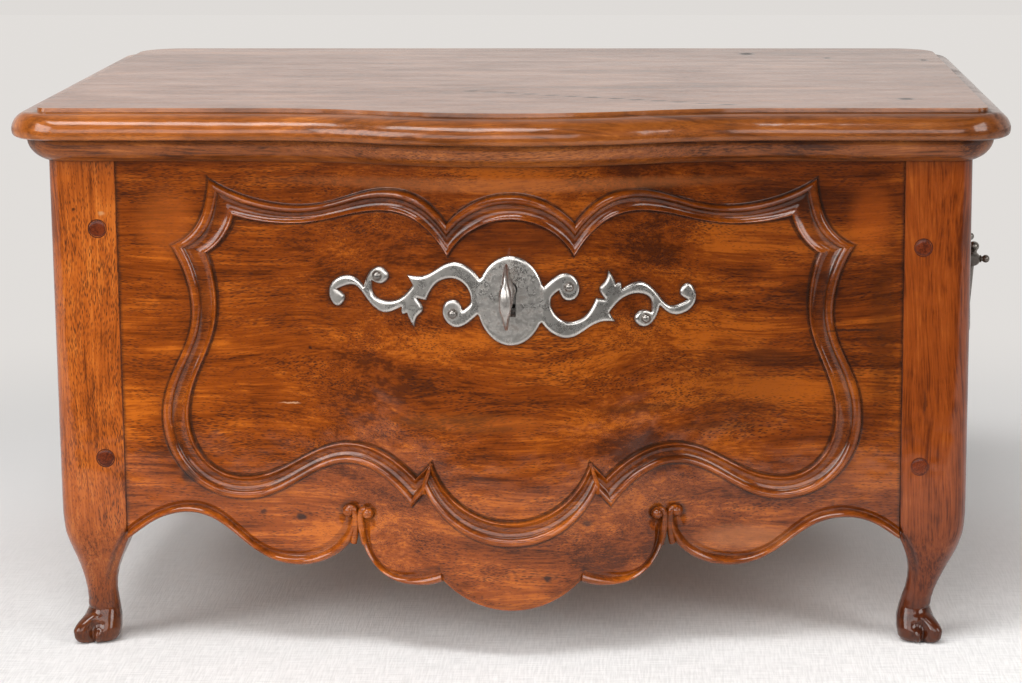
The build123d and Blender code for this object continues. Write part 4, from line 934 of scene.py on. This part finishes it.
def make_leg(name, side, rear, out, ahead):
    """One post and foot; out and ahead move the foot outward and forward."""
    levels = np.concatenate([np.linspace(-LIFT, 0.026, 34), np.linspace(0.026, 0.076, 44)[1:],
                             np.linspace(0.076, BODY_TOP, 20)[1:]])
    verts, masks = [], []
    for z in levels:
        points, crease = leg_section(z)
        a, b = points.T
        low_share = eased((0.050 - z) / 0.045)
        x = side * (JOINT_X + a + out * low_share)
        y = REAR_Y - POST + b if rear else FRONT_Y + POST - b - ahead * low_share
        verts.append(np.column_stack([x, y, np.full_like(x, z)]))
        # a painted shadow line at the floor, the feet darker from 26 mm down, painted shadow under the lid's moulding,
        # and a dark joint line at the front board
        near_floor = max(0.8 * (1 - (z + LIFT) / 0.0025), 0.80 * min((0.026 - z) / 0.018, 1))
        grime_and_shade = np.maximum(crease, max(near_floor, 0.5 * (z - 0.2505) / 0.002, 0))
        grime_and_shade = np.maximum(grime_and_shade, 0.8 * ((a < 0.0006) & (z > 0.054)))
        masks.append(np.column_stack([np.minimum(grime_and_shade, 1), 0.7 * ((crease < 0.2) & (z < 0.008))]))
    turn = (side > 0) != rear
    faces = rod_faces(len(levels), len(crease), flip=not turn, flip_ends=turn)
    return add_mesh(name, np.concatenate(verts), faces, POST_WOOD, masks=np.concatenate(masks))


# Lid

def plan_line(proud, front_radius, rear_radius):
    """The outline from above, from the rear middle round clockwise, with the same points for any radius."""
    side, front, rear = -SIDE_X - proud, FRONT_Y - proud, REAR_Y + proud

    def straight(a, b, steps):
        return np.linspace(a, b, steps + 1)[:-1]

    def arc(centre, radius, start, end, steps):
        turns = np.linspace(start, end, steps + 1)[:-1]
        return np.array(centre) + radius * np.stack([np.cos(turns), np.sin(turns)], 1)

    rear_in, front_in = side + rear_radius, side + front_radius
    turn = math.asin(BOW_HALF / 2 / BOW_RADIUS)
    up = math.pi / 2
    left = np.concatenate([
        straight((0, rear), (rear_in, rear), 12),
        arc((rear_in, rear - rear_radius), rear_radius, up, 2 * up, 20),
        straight((side, rear - rear_radius), (side, front + front_radius), 14),
        arc((front_in, front + front_radius), front_radius, 2 * up, 3 * up, 20),
        straight((front_in, front), (-BOW_HALF, front), 8),
        # the bow: hollow at its start, then swelling to the middle
        arc((-BOW_HALF, FRONT_Y - BOW_RADIUS), BOW_RADIUS - proud, up, up - turn, 16),
        arc((0, FRONT_Y - BOW + BOW_RADIUS), BOW_RADIUS + proud, -up - turn, -up, 16),
    ])
    return np.concatenate([left, [(0, FRONT_Y - BOW - proud)], left[:0:-1] * (-1, 1)])


def make_lid():
    lines, masks = [], []
    for index, (proud, z) in enumerate(LID_EDGE):
        share = np.clip((proud - 0.0075) / 0.0113, 0, 1)
        line = plan_line(proud, *(LID_STEP_RADII + share * (LID_NOSE_RADII - LID_STEP_RADII)))
        line[:, 0] += np.clip(-line[:, 0] / 0.24, 0, 1) * LID_LEFT_IN[index >= 5]
        wobble = waver(line, 0.00012, 0.03) if 6 < index < 15 else np.zeros(len(line))
        lines.append(np.column_stack([line, z + wobble]))
        masks += [(LID_GRIME_AND_SHADE.get(index, 0.0), LID_WEAR.get(index, 0.0))] * len(line)
    inner = plan_line(-0.020, 0.004, 0.004)
    lines.append(np.column_stack([inner, np.full(len(inner), LID_LOW)]))
    # painted shade along the lid's underside
    masks += [(0.2, 0.0)] * len(inner)
    return add_mesh("lid_board_moulded", np.concatenate(lines), rod_faces(len(lines), len(inner)), LID_WOOD,
                    masks=masks)


def make_under_mouldings():
    """Four mitred lengths of the ovolo under the lid."""
    lines = []
    for proud, z in UNDER_EDGE:
        line = plan_line(proud, POST_RADIUS + proud, POST_RADIUS + proud)
        lines.append(np.column_stack([line, np.full(len(line), z)]))
    inner = plan_line(-0.016, 0.001, 0.001)
    inner[:, 1] = np.maximum(inner[:, 1], BOARD_BACK_Y)
    lines += [np.column_stack([inner, np.full(len(inner), z)]) for z in (BODY_TOP + 0.00005, LID_LOW)]
    grid = np.array(lines)
    count = len(inner)
    # the mitres lie in the middle of the corners
    mitres = [22, 56, count - 56, count - 22]
    spans = {"left": range(mitres[0], mitres[1] + 1), "front": range(mitres[1], mitres[2] + 1),
             "right": range(mitres[2], mitres[3] + 1), "rear": [*range(mitres[3], count), *range(mitres[0] + 1)]}
    pieces = {}
    for name, span in spans.items():
        part = grid[:, list(span), :]
        if name == "rear":
            behind = np.clip(part[..., 1] - REAR_Y, 0, None)
            part[..., 2] = np.maximum(part[..., 2], BODY_TOP + 0.0001 + OPEN_LEAN * behind)
        masks = np.repeat([(grime_and_shade, 0.0) for grime_and_shade in UNDER_GRIME_AND_SHADE + [0.1, 0.1]], len(span), axis=0)
        pieces[name] = add_mesh(
            f"lid_{name}_ovolo", part.reshape(-1, 3), grid_faces(*part.shape[:2], closed_rows=True),
            MOULDING_WOOD if name in ("front", "rear") else SIDE_MOULDING_WOOD, masks=masks)
    return pieces


# Keyhole plate and key

def even_loop(line, gap):
    """A closed line with its points spread evenly."""
    ring = np.concatenate([line, line[:1]])
    length = np.concatenate([[0], np.cumsum(np.linalg.norm(np.diff(ring, axis=0), axis=1))])
    marks = np.linspace(0, length[-1], int(length[-1] / gap) + 1)[:-1]
    return np.stack([np.interp(marks, length, ring[:, k]) for k in (0, 1)], 1)


def twice_area(loop):
    """Twice a loop's area, more than 0 where it runs anticlockwise."""
    ahead = np.roll(loop, -1, 0)
    return np.sum(loop[:, 0] * ahead[:, 1] - ahead[:, 0] * loop[:, 1])


def within(points, loop):
    """Which points lie inside a closed line."""
    x, z = points[:, 0, None], points[:, 1, None]
    x1, z1 = loop[None, :, 0], loop[None, :, 1]
    x2, z2 = np.roll(x1, -1, 1), np.roll(z1, -1, 1)
    level = (z1 > z) != (z2 > z)
    with np.errstate(divide="ignore", invalid="ignore"):
        cross = x < (x2 - x1) * (z - z1) / (z2 - z1) + x1
    return (level & cross).sum(1) % 2 == 1


def make_plate():
    """The scrolled plate, with filed bevels, bent to the bow of the front."""
    outline = even_loop(scroll_outline(), 0.00042)
    keyhole = even_loop(keyhole_line(40, 0.0034) - PLATE_CENTRE, 0.0005)
    ahead = np.roll(outline, -1, 0) - np.roll(outline, 1, 0)
    ahead /= np.linalg.norm(ahead, axis=1)[:, None]
    inward = np.stack([-ahead[:, 1], ahead[:, 0]], 1) * np.sign(twice_area(outline))
    places = [outline, keyhole]
    for depth in (0.0003, 0.00065, 0.0011, 0.0016):
        ring = outline + inward * depth
        places.append(ring[distance_to(ring, outline) > depth * 0.94])
    grid = np.stack(np.meshgrid(np.arange(-0.095, 0.095, 0.0009), np.arange(-0.025, 0.025, 0.0009)), -1).reshape(-1, 2)
    grid = grid[within(grid, outline) & ~within(grid, keyhole)]
    places.append(grid[(distance_to(grid, outline) > 0.0020) & (distance_to(grid, keyhole) > 0.0004)])
    first, second = len(outline), len(keyhole)
    edges = [(i, (i + 1) % first) for i in range(first)]
    edges += [(first + i, first + (i + 1) % second) for i in range(second)]
    result = delaunay_2d_cdt([Vector(place) for place in np.concatenate(places)], edges, [], 0, 1e-7)
    places = np.array([tuple(v) for v in result[0]])
    faces = np.array([tuple(face) for face in result[2] if len(face) == 3])
    middle = places[faces].mean(1)
    faces = faces[within(middle, outline) & ~within(middle, keyhole)]
    faces = [tuple(face if twice_area(places[face]) > 0 else face[::-1]) for face in faces]
    gap = distance_to(places, outline)
    heights = 0.0004 + 0.0012 * np.sqrt(1 - (1 - np.clip(gap / 0.0017, 0, 1))**2)
    far = (places[:, 0] / OVAL[0])**2 + (places[:, 1] / OVAL[1])**2 > 1.0
    wear = np.maximum(np.where(far, 0.75, 0.0), np.clip(1.9 - gap / 0.0009, 0, 1))
    # dark at the plate's edge and in rings round the studs, with dirt and painted shade
    grime_and_shade = np.where(gap < 0.0001, 0.35, 0.0)
    for stud in (*-SCROLL_STUDS, *SCROLL_STUDS):
        away = np.linalg.norm(places - stud, axis=1)
        grime_and_shade = np.maximum(grime_and_shade, np.clip(1 - np.abs(away - 0.0026) / 0.0008, 0, 1) * 0.9)
    parts = [(front_points(*(places + PLATE_CENTRE).T, heights), faces, np.stack([grime_and_shade, wear], 1))]
    # the plate's edges dark with dirt and painted shade
    for loop, inner, top in ((outline, False, 0.0005), (keyhole, True, 0.0014)):
        wall = np.concatenate([front_points(*(loop + PLATE_CENTRE).T, height) for height in (-0.0004, top)])
        flip = (twice_area(loop) > 0) == inner
        parts.append((wall, grid_faces(2, len(loop), closed_columns=True, flip=flip), (0.8, 0.0)))
    return add_parts("keyhole_plate", parts, STEEL, crease=24)


def lathe(profile, steps):
    """A turned shape along -Y from (distance out, radius) pairs in millimetres."""
    out, radius = mm(profile).T[:, :, None]
    turns = turns_round(steps)
    verts = np.stack(np.broadcast_arrays(radius * np.cos(turns), -out, radius * np.sin(turns)), -1)
    return verts.reshape(-1, 3), rod_faces(len(profile), steps)


def place_on_front(verts, x, z):
    run = min(abs(x), max(BOW_HALF - abs(x), 0))
    slope = math.asin(run / BOW_RADIUS) * (1 if x > 0 else -1)
    c, s = math.cos(slope), math.sin(slope)
    turned = np.stack([verts[:, 0] * c - verts[:, 1] * s, verts[:, 0] * s + verts[:, 1] * c, verts[:, 2]], 1)
    return turned + (x, FRONT_Y - float(bow_depth(x)), z)


def make_studs():
    dome, faces = lathe([(1.2, 2.6), (1.8, 2.5), (2.5, 2.3), (3.2, 1.8), (3.6, 1.2), (3.8, 0.4)], 24)
    # the ring at each stud's base dark with dirt and painted shade, its dome rubbed
    masks = [(0.9, 0.0)] * 24 + [(0.0, 0.6)] * (len(dome) - 24)
    parts = [(place_on_front(dome, u + PLATE_SHIFT, PLATE_Z + w), faces, masks)
             for u, w in (*-SCROLL_STUDS, *SCROLL_STUDS)]
    return add_parts("plate_studs", parts, STUD_STEEL, crease=50)


def make_key():
    """Hollow key: turned stem and collar, a worn oval bow, and a cut bit."""
    at_lock = (0, FRONT_Y, KEY_Z)
    verts, faces = lathe([(-13.5, 2), (-13.5, 3.3), (-13, 3.5), (23, 3.5), (25, 3.4), (27, 3.4), (27.6, 3.8),
                          (28.4, 3.8), (29, 3.3), (29.8, 3.3), (30.6, 3.7), (31.8, 3.8), (33, 3.6), (33.8, 3),
                          (34.6, 2.4)], 32)
    parts = [(verts + at_lock, faces[:-2] + faces[-1:], None)]
    verts, faces = lathe([(-13.5, 2), (6, 2), (6.2, 0.2)], 24)
    parts.append((verts + at_lock, [face[::-1] for face in faces[:-2]], None))
    rings, steps = 56, 18
    rolls = turns_round(steps)[:, None]
    verts = []
    for turn in turns_round(rings):
        rise = abs(math.sin(turn))
        along = np.array([0, -math.cos(turn), math.sin(turn)])
        thick = 0.0024 + 0.0007 * max(0.0, -math.cos(turn))**3 + 0.0003 * rise**4
        slim = np.interp(rise, (0.0, 0.28, 0.42, 0.52, 0.66, 0.85, 1.0), mm((3.1, 3, 2.6, 1.9, 1.6, 1.3, 1)))
        middle = np.array([0, KEY_BOW_Y, KEY_Z]) + along * KEY_BOW_SIZE
        verts.append(middle + along * thick * np.cos(rolls) + np.array([1, 0, 0]) * slim * np.sin(rolls))
    parts.append((np.concatenate(verts), grid_faces(rings, steps, closed_rows=True, closed_columns=True), None))
    key = add_parts("key_turned", parts, KEY_STEEL, crease=32)
    # the bit, with a ward cut in it
    sides = [(0, 1, 3, 2), (4, 6, 7, 5), (0, 4, 5, 1), (2, 3, 7, 6), (0, 2, 6, 4), (1, 5, 7, 3)]
    blocks = [[(x, y, z) for x in (-1.5, 1.5) for y in ends for z in (low, -3)]
              for low, ends in ((-13, (5, 8.2)), (-8.9, (8.2, 9.4)), (-13, (9.4, 12.5)))]
    bit = add_parts("key_bit", [(mm(block) + at_lock, sides, None) for block in blocks], KEY_STEEL, smooth=False)
    return key, bit


# Handles

def make_bail(word, side):
    """Drop handle: a bar that swells in the middle, with ball ends above its pivots."""
    x = side * (SIDE_X + BAIL_OUT)
    turns = np.linspace(0, math.pi / 2, 14)[1:]
    centre = np.array([-BAIL_HALF + BAIL_CORNER, BAIL_LOW + BAIL_CORNER])
    half = np.concatenate([[(-BAIL_HALF, BAIL_TOP), (-BAIL_HALF, centre[1])],
                           centre - BAIL_CORNER * np.stack([np.cos(turns), np.sin(turns)], 1)])
    grip = np.linspace(-1, 1, 13)[1:-1, None] * (-centre[0], 0) + (0, BAIL_LOW)
    path = np.concatenate([half, grip, half[::-1] * (-1, 1)])
    length = np.concatenate([[0], np.cumsum(np.linalg.norm(np.diff(path, axis=0), axis=1))])
    share = length / length[-1]
    steps = 16
    rolls = turns_round(steps)
    verts = []
    for k, (u, z) in enumerate(path):
        lean = side * np.interp(z, mm((138.8, 146, 160, 173, 184)), mm((1.2, 2, 2.7, 1.6, 0)))
        ahead = path[min(k + 1, len(path) - 1)] - path[max(k - 1, 0)]
        ahead = ahead / np.linalg.norm(ahead)
        thick = BAIL_RADIUS + BAIL_SWELL * math.exp(-((share[k] - 0.5) / 0.16)**2)
        out, up = thick * np.sin(rolls), thick * np.cos(rolls)
        verts.append(np.column_stack([x - lean + out, MIDDLE_Y + u + ahead[1] * up, z - ahead[0] * up]))
    parts = [(np.concatenate(verts), grid_faces(len(path), steps, closed_columns=True), None)]
    ball, ball_faces = lathe([(7.1, 0.7), (6.6, 1.9), (5.6, 2.8), (4.4, 3.1), (3.2, 2.8), (2.2, 2.1), (1.2, 1.8),
                              (0, 2.5), (-1.4, 1.9)], 20)
    ball = ball[:, [0, 2, 1]] * (1, 1, -1)
    pin, pin_faces = lathe([(0, 1.6), (10.2, 1.6), (10.2, 2.4), (10.8, 2.4)], 18)
    for end in (-1, 1):
        pivot_y = MIDDLE_Y + end * BAIL_HALF
        parts.append((ball + (x + side * 0.0008, pivot_y, HANDLE_Z + 0.0016), ball_faces, None))
        parts.append((pin * (1, -end, 1) + (x, pivot_y, HANDLE_Z), pin_faces, None))
    return add_parts(f"{word}_bail_bar", parts, HANDLE_IRON, crease=40)


def make_posts(word, side):
    """Turned posts: a stud through the side, an eye round the bail's pin, and a ball."""
    eye = lathe([(-3, 1.75), (-3, 3), (-2, 3.7), (0, 3.9), (2, 3.7), (3, 3), (3, 1.75)], 24)[0]
    root = lathe([(-24, 2.6), (3, 2.6), (3.4, 4), (4.2, 4), (5, 2.8), (7.5, 2.4), (10.2, 2.7)], 22)
    tip = lathe([(15.6, 2.6), (16.6, 1.8), (17.2, 2.1), (17.7, 1.3), (18, 1.3), (18.5, 1.7), (19.3, 2.1),
                 (20.2, 2.2), (21.2, 1.8), (21.9, 0.8)], 22)
    parts = []
    for end in (-1, 1):
        y = MIDDLE_Y + end * HANDLE_HALF
        for verts, faces in (root, tip):
            turned = verts[:, [1, 0, 2]] * (-side, side, 1)
            parts.append((turned + (side * SIDE_X, y, HANDLE_Z), faces, None))
        parts.append((eye + (side * (SIDE_X + BAIL_OUT), y, HANDLE_Z),
                      grid_faces(7, 24, closed_rows=True, closed_columns=True), None))
    return add_parts(f"{word}_posts_turned", parts, HANDLE_IRON, crease=40)


def make_rosettes(word, side):
    """Stamped round plates with a rim of small petals behind the handle's posts."""
    turns = turns_round(72)
    rings = []
    for out, share in ((0, 1.00), (0.6, 1.00), (1, 0.93), (0.8, 0.84), (1.6, 0.70), (2.1, 0.56), (1.7, 0.47),
                       (2.4, 0.42), (2.4, 0.28)):
        radius = ROSETTE_RADIUS * share * (1 + 0.05 * np.cos(12 * turns) * (share > 0.6))
        rings.append(np.column_stack([np.full(72, side * (SIDE_X + out / 1000)), radius * np.cos(turns),
                                      radius * np.sin(turns)]))
    faces = grid_faces(len(rings), 72, closed_columns=True, flip=side < 0)
    parts = [(np.concatenate(rings) + (0, MIDDLE_Y + end * HANDLE_HALF, HANDLE_Z), faces, None) for end in (-1, 1)]
    return add_parts(f"{word}_rosette_plates", parts, HANDLE_IRON, crease=40)


def make_peg_ends():
    """The waxed ends of the front joint pegs, a little domed, with a dark ring round each."""
    parts = []
    for x, heights in PEGS:
        for z in heights:
            dome, faces = lathe([(-0.3, 4.3), (0.1, 4.1), (0.3, 3.6), (0.34, 2), (0.3, 0.2)], 26)
            wobble = 1 + 0.03 * np.cos(3 * np.arctan2(dome[:, 2], dome[:, 0]) + x * 90 + z * 40)
            dome[:, [0, 2]] *= wobble[:, None]
            parts.append((dome + (x, FRONT_Y, z), faces, [(1.0, 0.0)] * 52 + [(0.1, 0.0)] * (len(dome) - 52)))
            ring, faces = lathe([(0.03, 4.3), (0.02, 4.9)], 26)
            parts.append((ring + (x, FRONT_Y, z), faces[:26], [(0.85, 0.0)] * 26 + [(0.25, 0.0)] * 26))
    return add_parts("peg_ends", parts, PEG_WOOD)


# Putting the box together

SIDES = (("left", -1), ("right", 1))


def place(piece, body, slot, solid=None):
    """The body that a piece moves with, the slot of its material, which is not used, and the solid whose place it
    takes.
    """
    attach(piece, body)
    if solid:
        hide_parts(solid)


place(make_front_board(), "carcass", "walnut", "front_board")
for make_piece in (make_frame, make_curls, make_spurs):
    place(make_piece(), "carcass", "walnut")
for end, rear in (("front", False), ("rear", True)):
    for word, side in SIDES:
        corner = f"{end}_{word}"
        leg = make_leg(f"{corner}_leg_carved", side, rear, *FOOT_STANCE.get(corner, (0, 0)))
        place(leg, "carcass", "walnut", f"{corner}_leg")
place(make_peg_ends(), "carcass", "peg_wood", "front_pegs")
place(make_lid(), "lid", "walnut", "lid_board")
for name, piece in make_under_mouldings().items():
    place(piece, "lid", "walnut", f"lid_{name}_moulding")
place(make_plate(), "carcass", "cut_steel", "escutcheon")
place(make_studs(), "carcass", "cut_steel", "escutcheon_studs")
key, bit = make_key()
place(key, "key", "key_steel", "key")
place(bit, "key", "key_steel")
for word, side in SIDES:
    place(make_bail(word, side), f"{word}_bail", "handle_iron", f"{word}_bail")
    place(make_posts(word, side), "carcass", "handle_iron", f"{word}_handle_posts")
    place(make_rosettes(word, side), "carcass", "handle_iron", f"{word}_handle_rosettes")

LOOKS = {
    "back_board": BACK_WOOD, "left_side_board": SIDE_WOOD, "right_side_board": SIDE_WOOD,
    "bottom_plank_front": INSIDE_WOOD, "bottom_plank_rear": INSIDE_WOOD, "rear_pegs": PEG_WOOD,
    "side_pegs": PEG_WOOD,
}
for name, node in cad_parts.items():
    look = LOOKS.get(name, HANDLE_IRON if name.endswith("handle_nuts") else IRON)
    node.data.materials.clear()
    node.data.materials.append(look)


# Studio

def floor_material():
    """Woven pale cloth near the box that fades into a plain sweep. Mirrored, the room in front is dim."""
    material, t, surface, place = start_material("table cloth")
    depth = t.axis(place, "Y")
    near = t.ramp(depth, -0.25, 0.25, 1.0, 0.0)
    cloth = t.math("ADD", *(t.noise(t.stretch(place, scale), 1.0, 2.0) for scale in ((60, 950, 60), (950, 60, 60))))
    shade = t.ramp(t.add_times(t.noise(place, 9.0, 3.0), 0.25, cloth), 0.8, 1.4)
    shade = t.mix(near, (1, 1, 1), t.mix(shade, (0.84, 0.84, 0.84), (1.03, 1.03, 1.03)))
    # painted shade: the cloth darker towards the left, evening out the left lamp's light
    ground = t.across(place, FLOOR_NEAR, FLOOR_LEFT_SHADE, (1.0, 1.0, 1.0), "X", -0.5, 0.3)
    path = t.node("LightPath").outputs
    dim = t.times(path["Is Glossy Ray"], t.ramp(depth, -0.62, -0.50, 1.0, 0.0))
    ground = t.mix(dim, t.mix(1.0, ground, shade, "MULTIPLY"), FLOOR_DIM)
    sweep = t.times(path["Is Camera Ray"], t.ramp(t.length(place), 0.38, 0.85))
    for label, value in (
        ("Roughness", 0.9), ("Specular IOR Level", 0.1), ("Base Color", t.mix(sweep, ground, (0, 0, 0))),
        ("Emission Color", t.mix(sweep, (0, 0, 0), ROOM_PALE)), ("Emission Strength", 1.0),
        ("Normal", t.bump(t.times(cloth, near), 0.4, 0.0006)),
    ):
        t.link(value, surface[label])
    return material


def make_floor():
    """A wide pale floor."""
    run = [-4.0, -0.6, 0.4, 4.0]
    verts = [(x, y, -0.0002) for x in (-4.0, 4.0) for y in run]
    floor = add_mesh("floor_cloth", verts, grid_faces(2, len(run), flip=True), floor_material(), lift=0.0)


def make_world():
    """A pale room behind the box, dim in front of it, which gives little light of its own."""
    world = bpy.data.worlds.new("studio")
    world.use_nodes = True
    t = Tree(world.node_tree)
    depth = t.axis(t.node("TexCoord").outputs["Generated"], "Y")
    path = t.node("LightPath").outputs
    colour = t.mix(path["Is Glossy Ray"], ROOM_FILL, t.mix(t.ramp(depth, -0.05, 0.35), ROOM_DIM, ROOM_PALE))
    t.link(t.mix(path["Is Camera Ray"], colour, ROOM_PALE), t.tree.nodes["Background"].inputs["Color"])
    bpy.context.scene.world = world


# Lamps: name, place, target, width, height, power, colour
WARM = (1.0, 0.99, 0.98)
WHITE = (1.0, 1.0, 1.0)
LAMPS = (
    ("left softbox", (-2.2, -2.0, 1.35), (0, -0.05, 0.12), 1.5, 1.8, 60, WARM),
    ("right softbox", (2.2, -1.7, 1.3), (0, -0.05, 0.15), 1.2, 1.6, 36, WARM),
    ("front softbox", (-0.3, -2.6, 1.0), (0, -0.1, 0.1), 2.4, 1.3, 32, WHITE),
    ("overhead", (-0.35, -0.85, 1.75), (0, -0.05, 0.15), 1.2, 0.45, 17, WHITE),
)
CAMERA_PLACE = (0.0743, FRONT_Y - 1.4737, 0.4426 + LIFT)
CAMERA_PITCH = 10.91


def area_light(name, place, target, size, size_y, power, colour):
    light = bpy.data.lights.new(name, "AREA")
    light.shape = "RECTANGLE"
    light.size, light.size_y = size, size_y
    light.energy = power
    light.color = colour
    obj = bpy.data.objects.new(name, light)
    obj.location = place
    obj.rotation_euler = (Vector(target) - Vector(place)).to_track_quat("-Z", "Y").to_euler()
    bpy.context.scene.collection.objects.link(obj)


make_floor()
make_world()
for lamp in LAMPS:
    area_light(*lamp)

bpy.context.scene.view_settings.view_transform = "Standard"

camera = bpy.data.cameras.new("camera")
camera.lens = 103.3
camera.sensor_width = 36.0
camera.shift_x = -0.1427
camera.clip_start = 0.05
camera.clip_end = 20.0
holder = bpy.data.objects.new("camera", camera)
holder.location = CAMERA_PLACE
holder.rotation_euler = (math.radians(90 - CAMERA_PITCH), 0, 0)
bpy.context.scene.collection.objects.link(holder)
bpy.context.scene.camera = holder
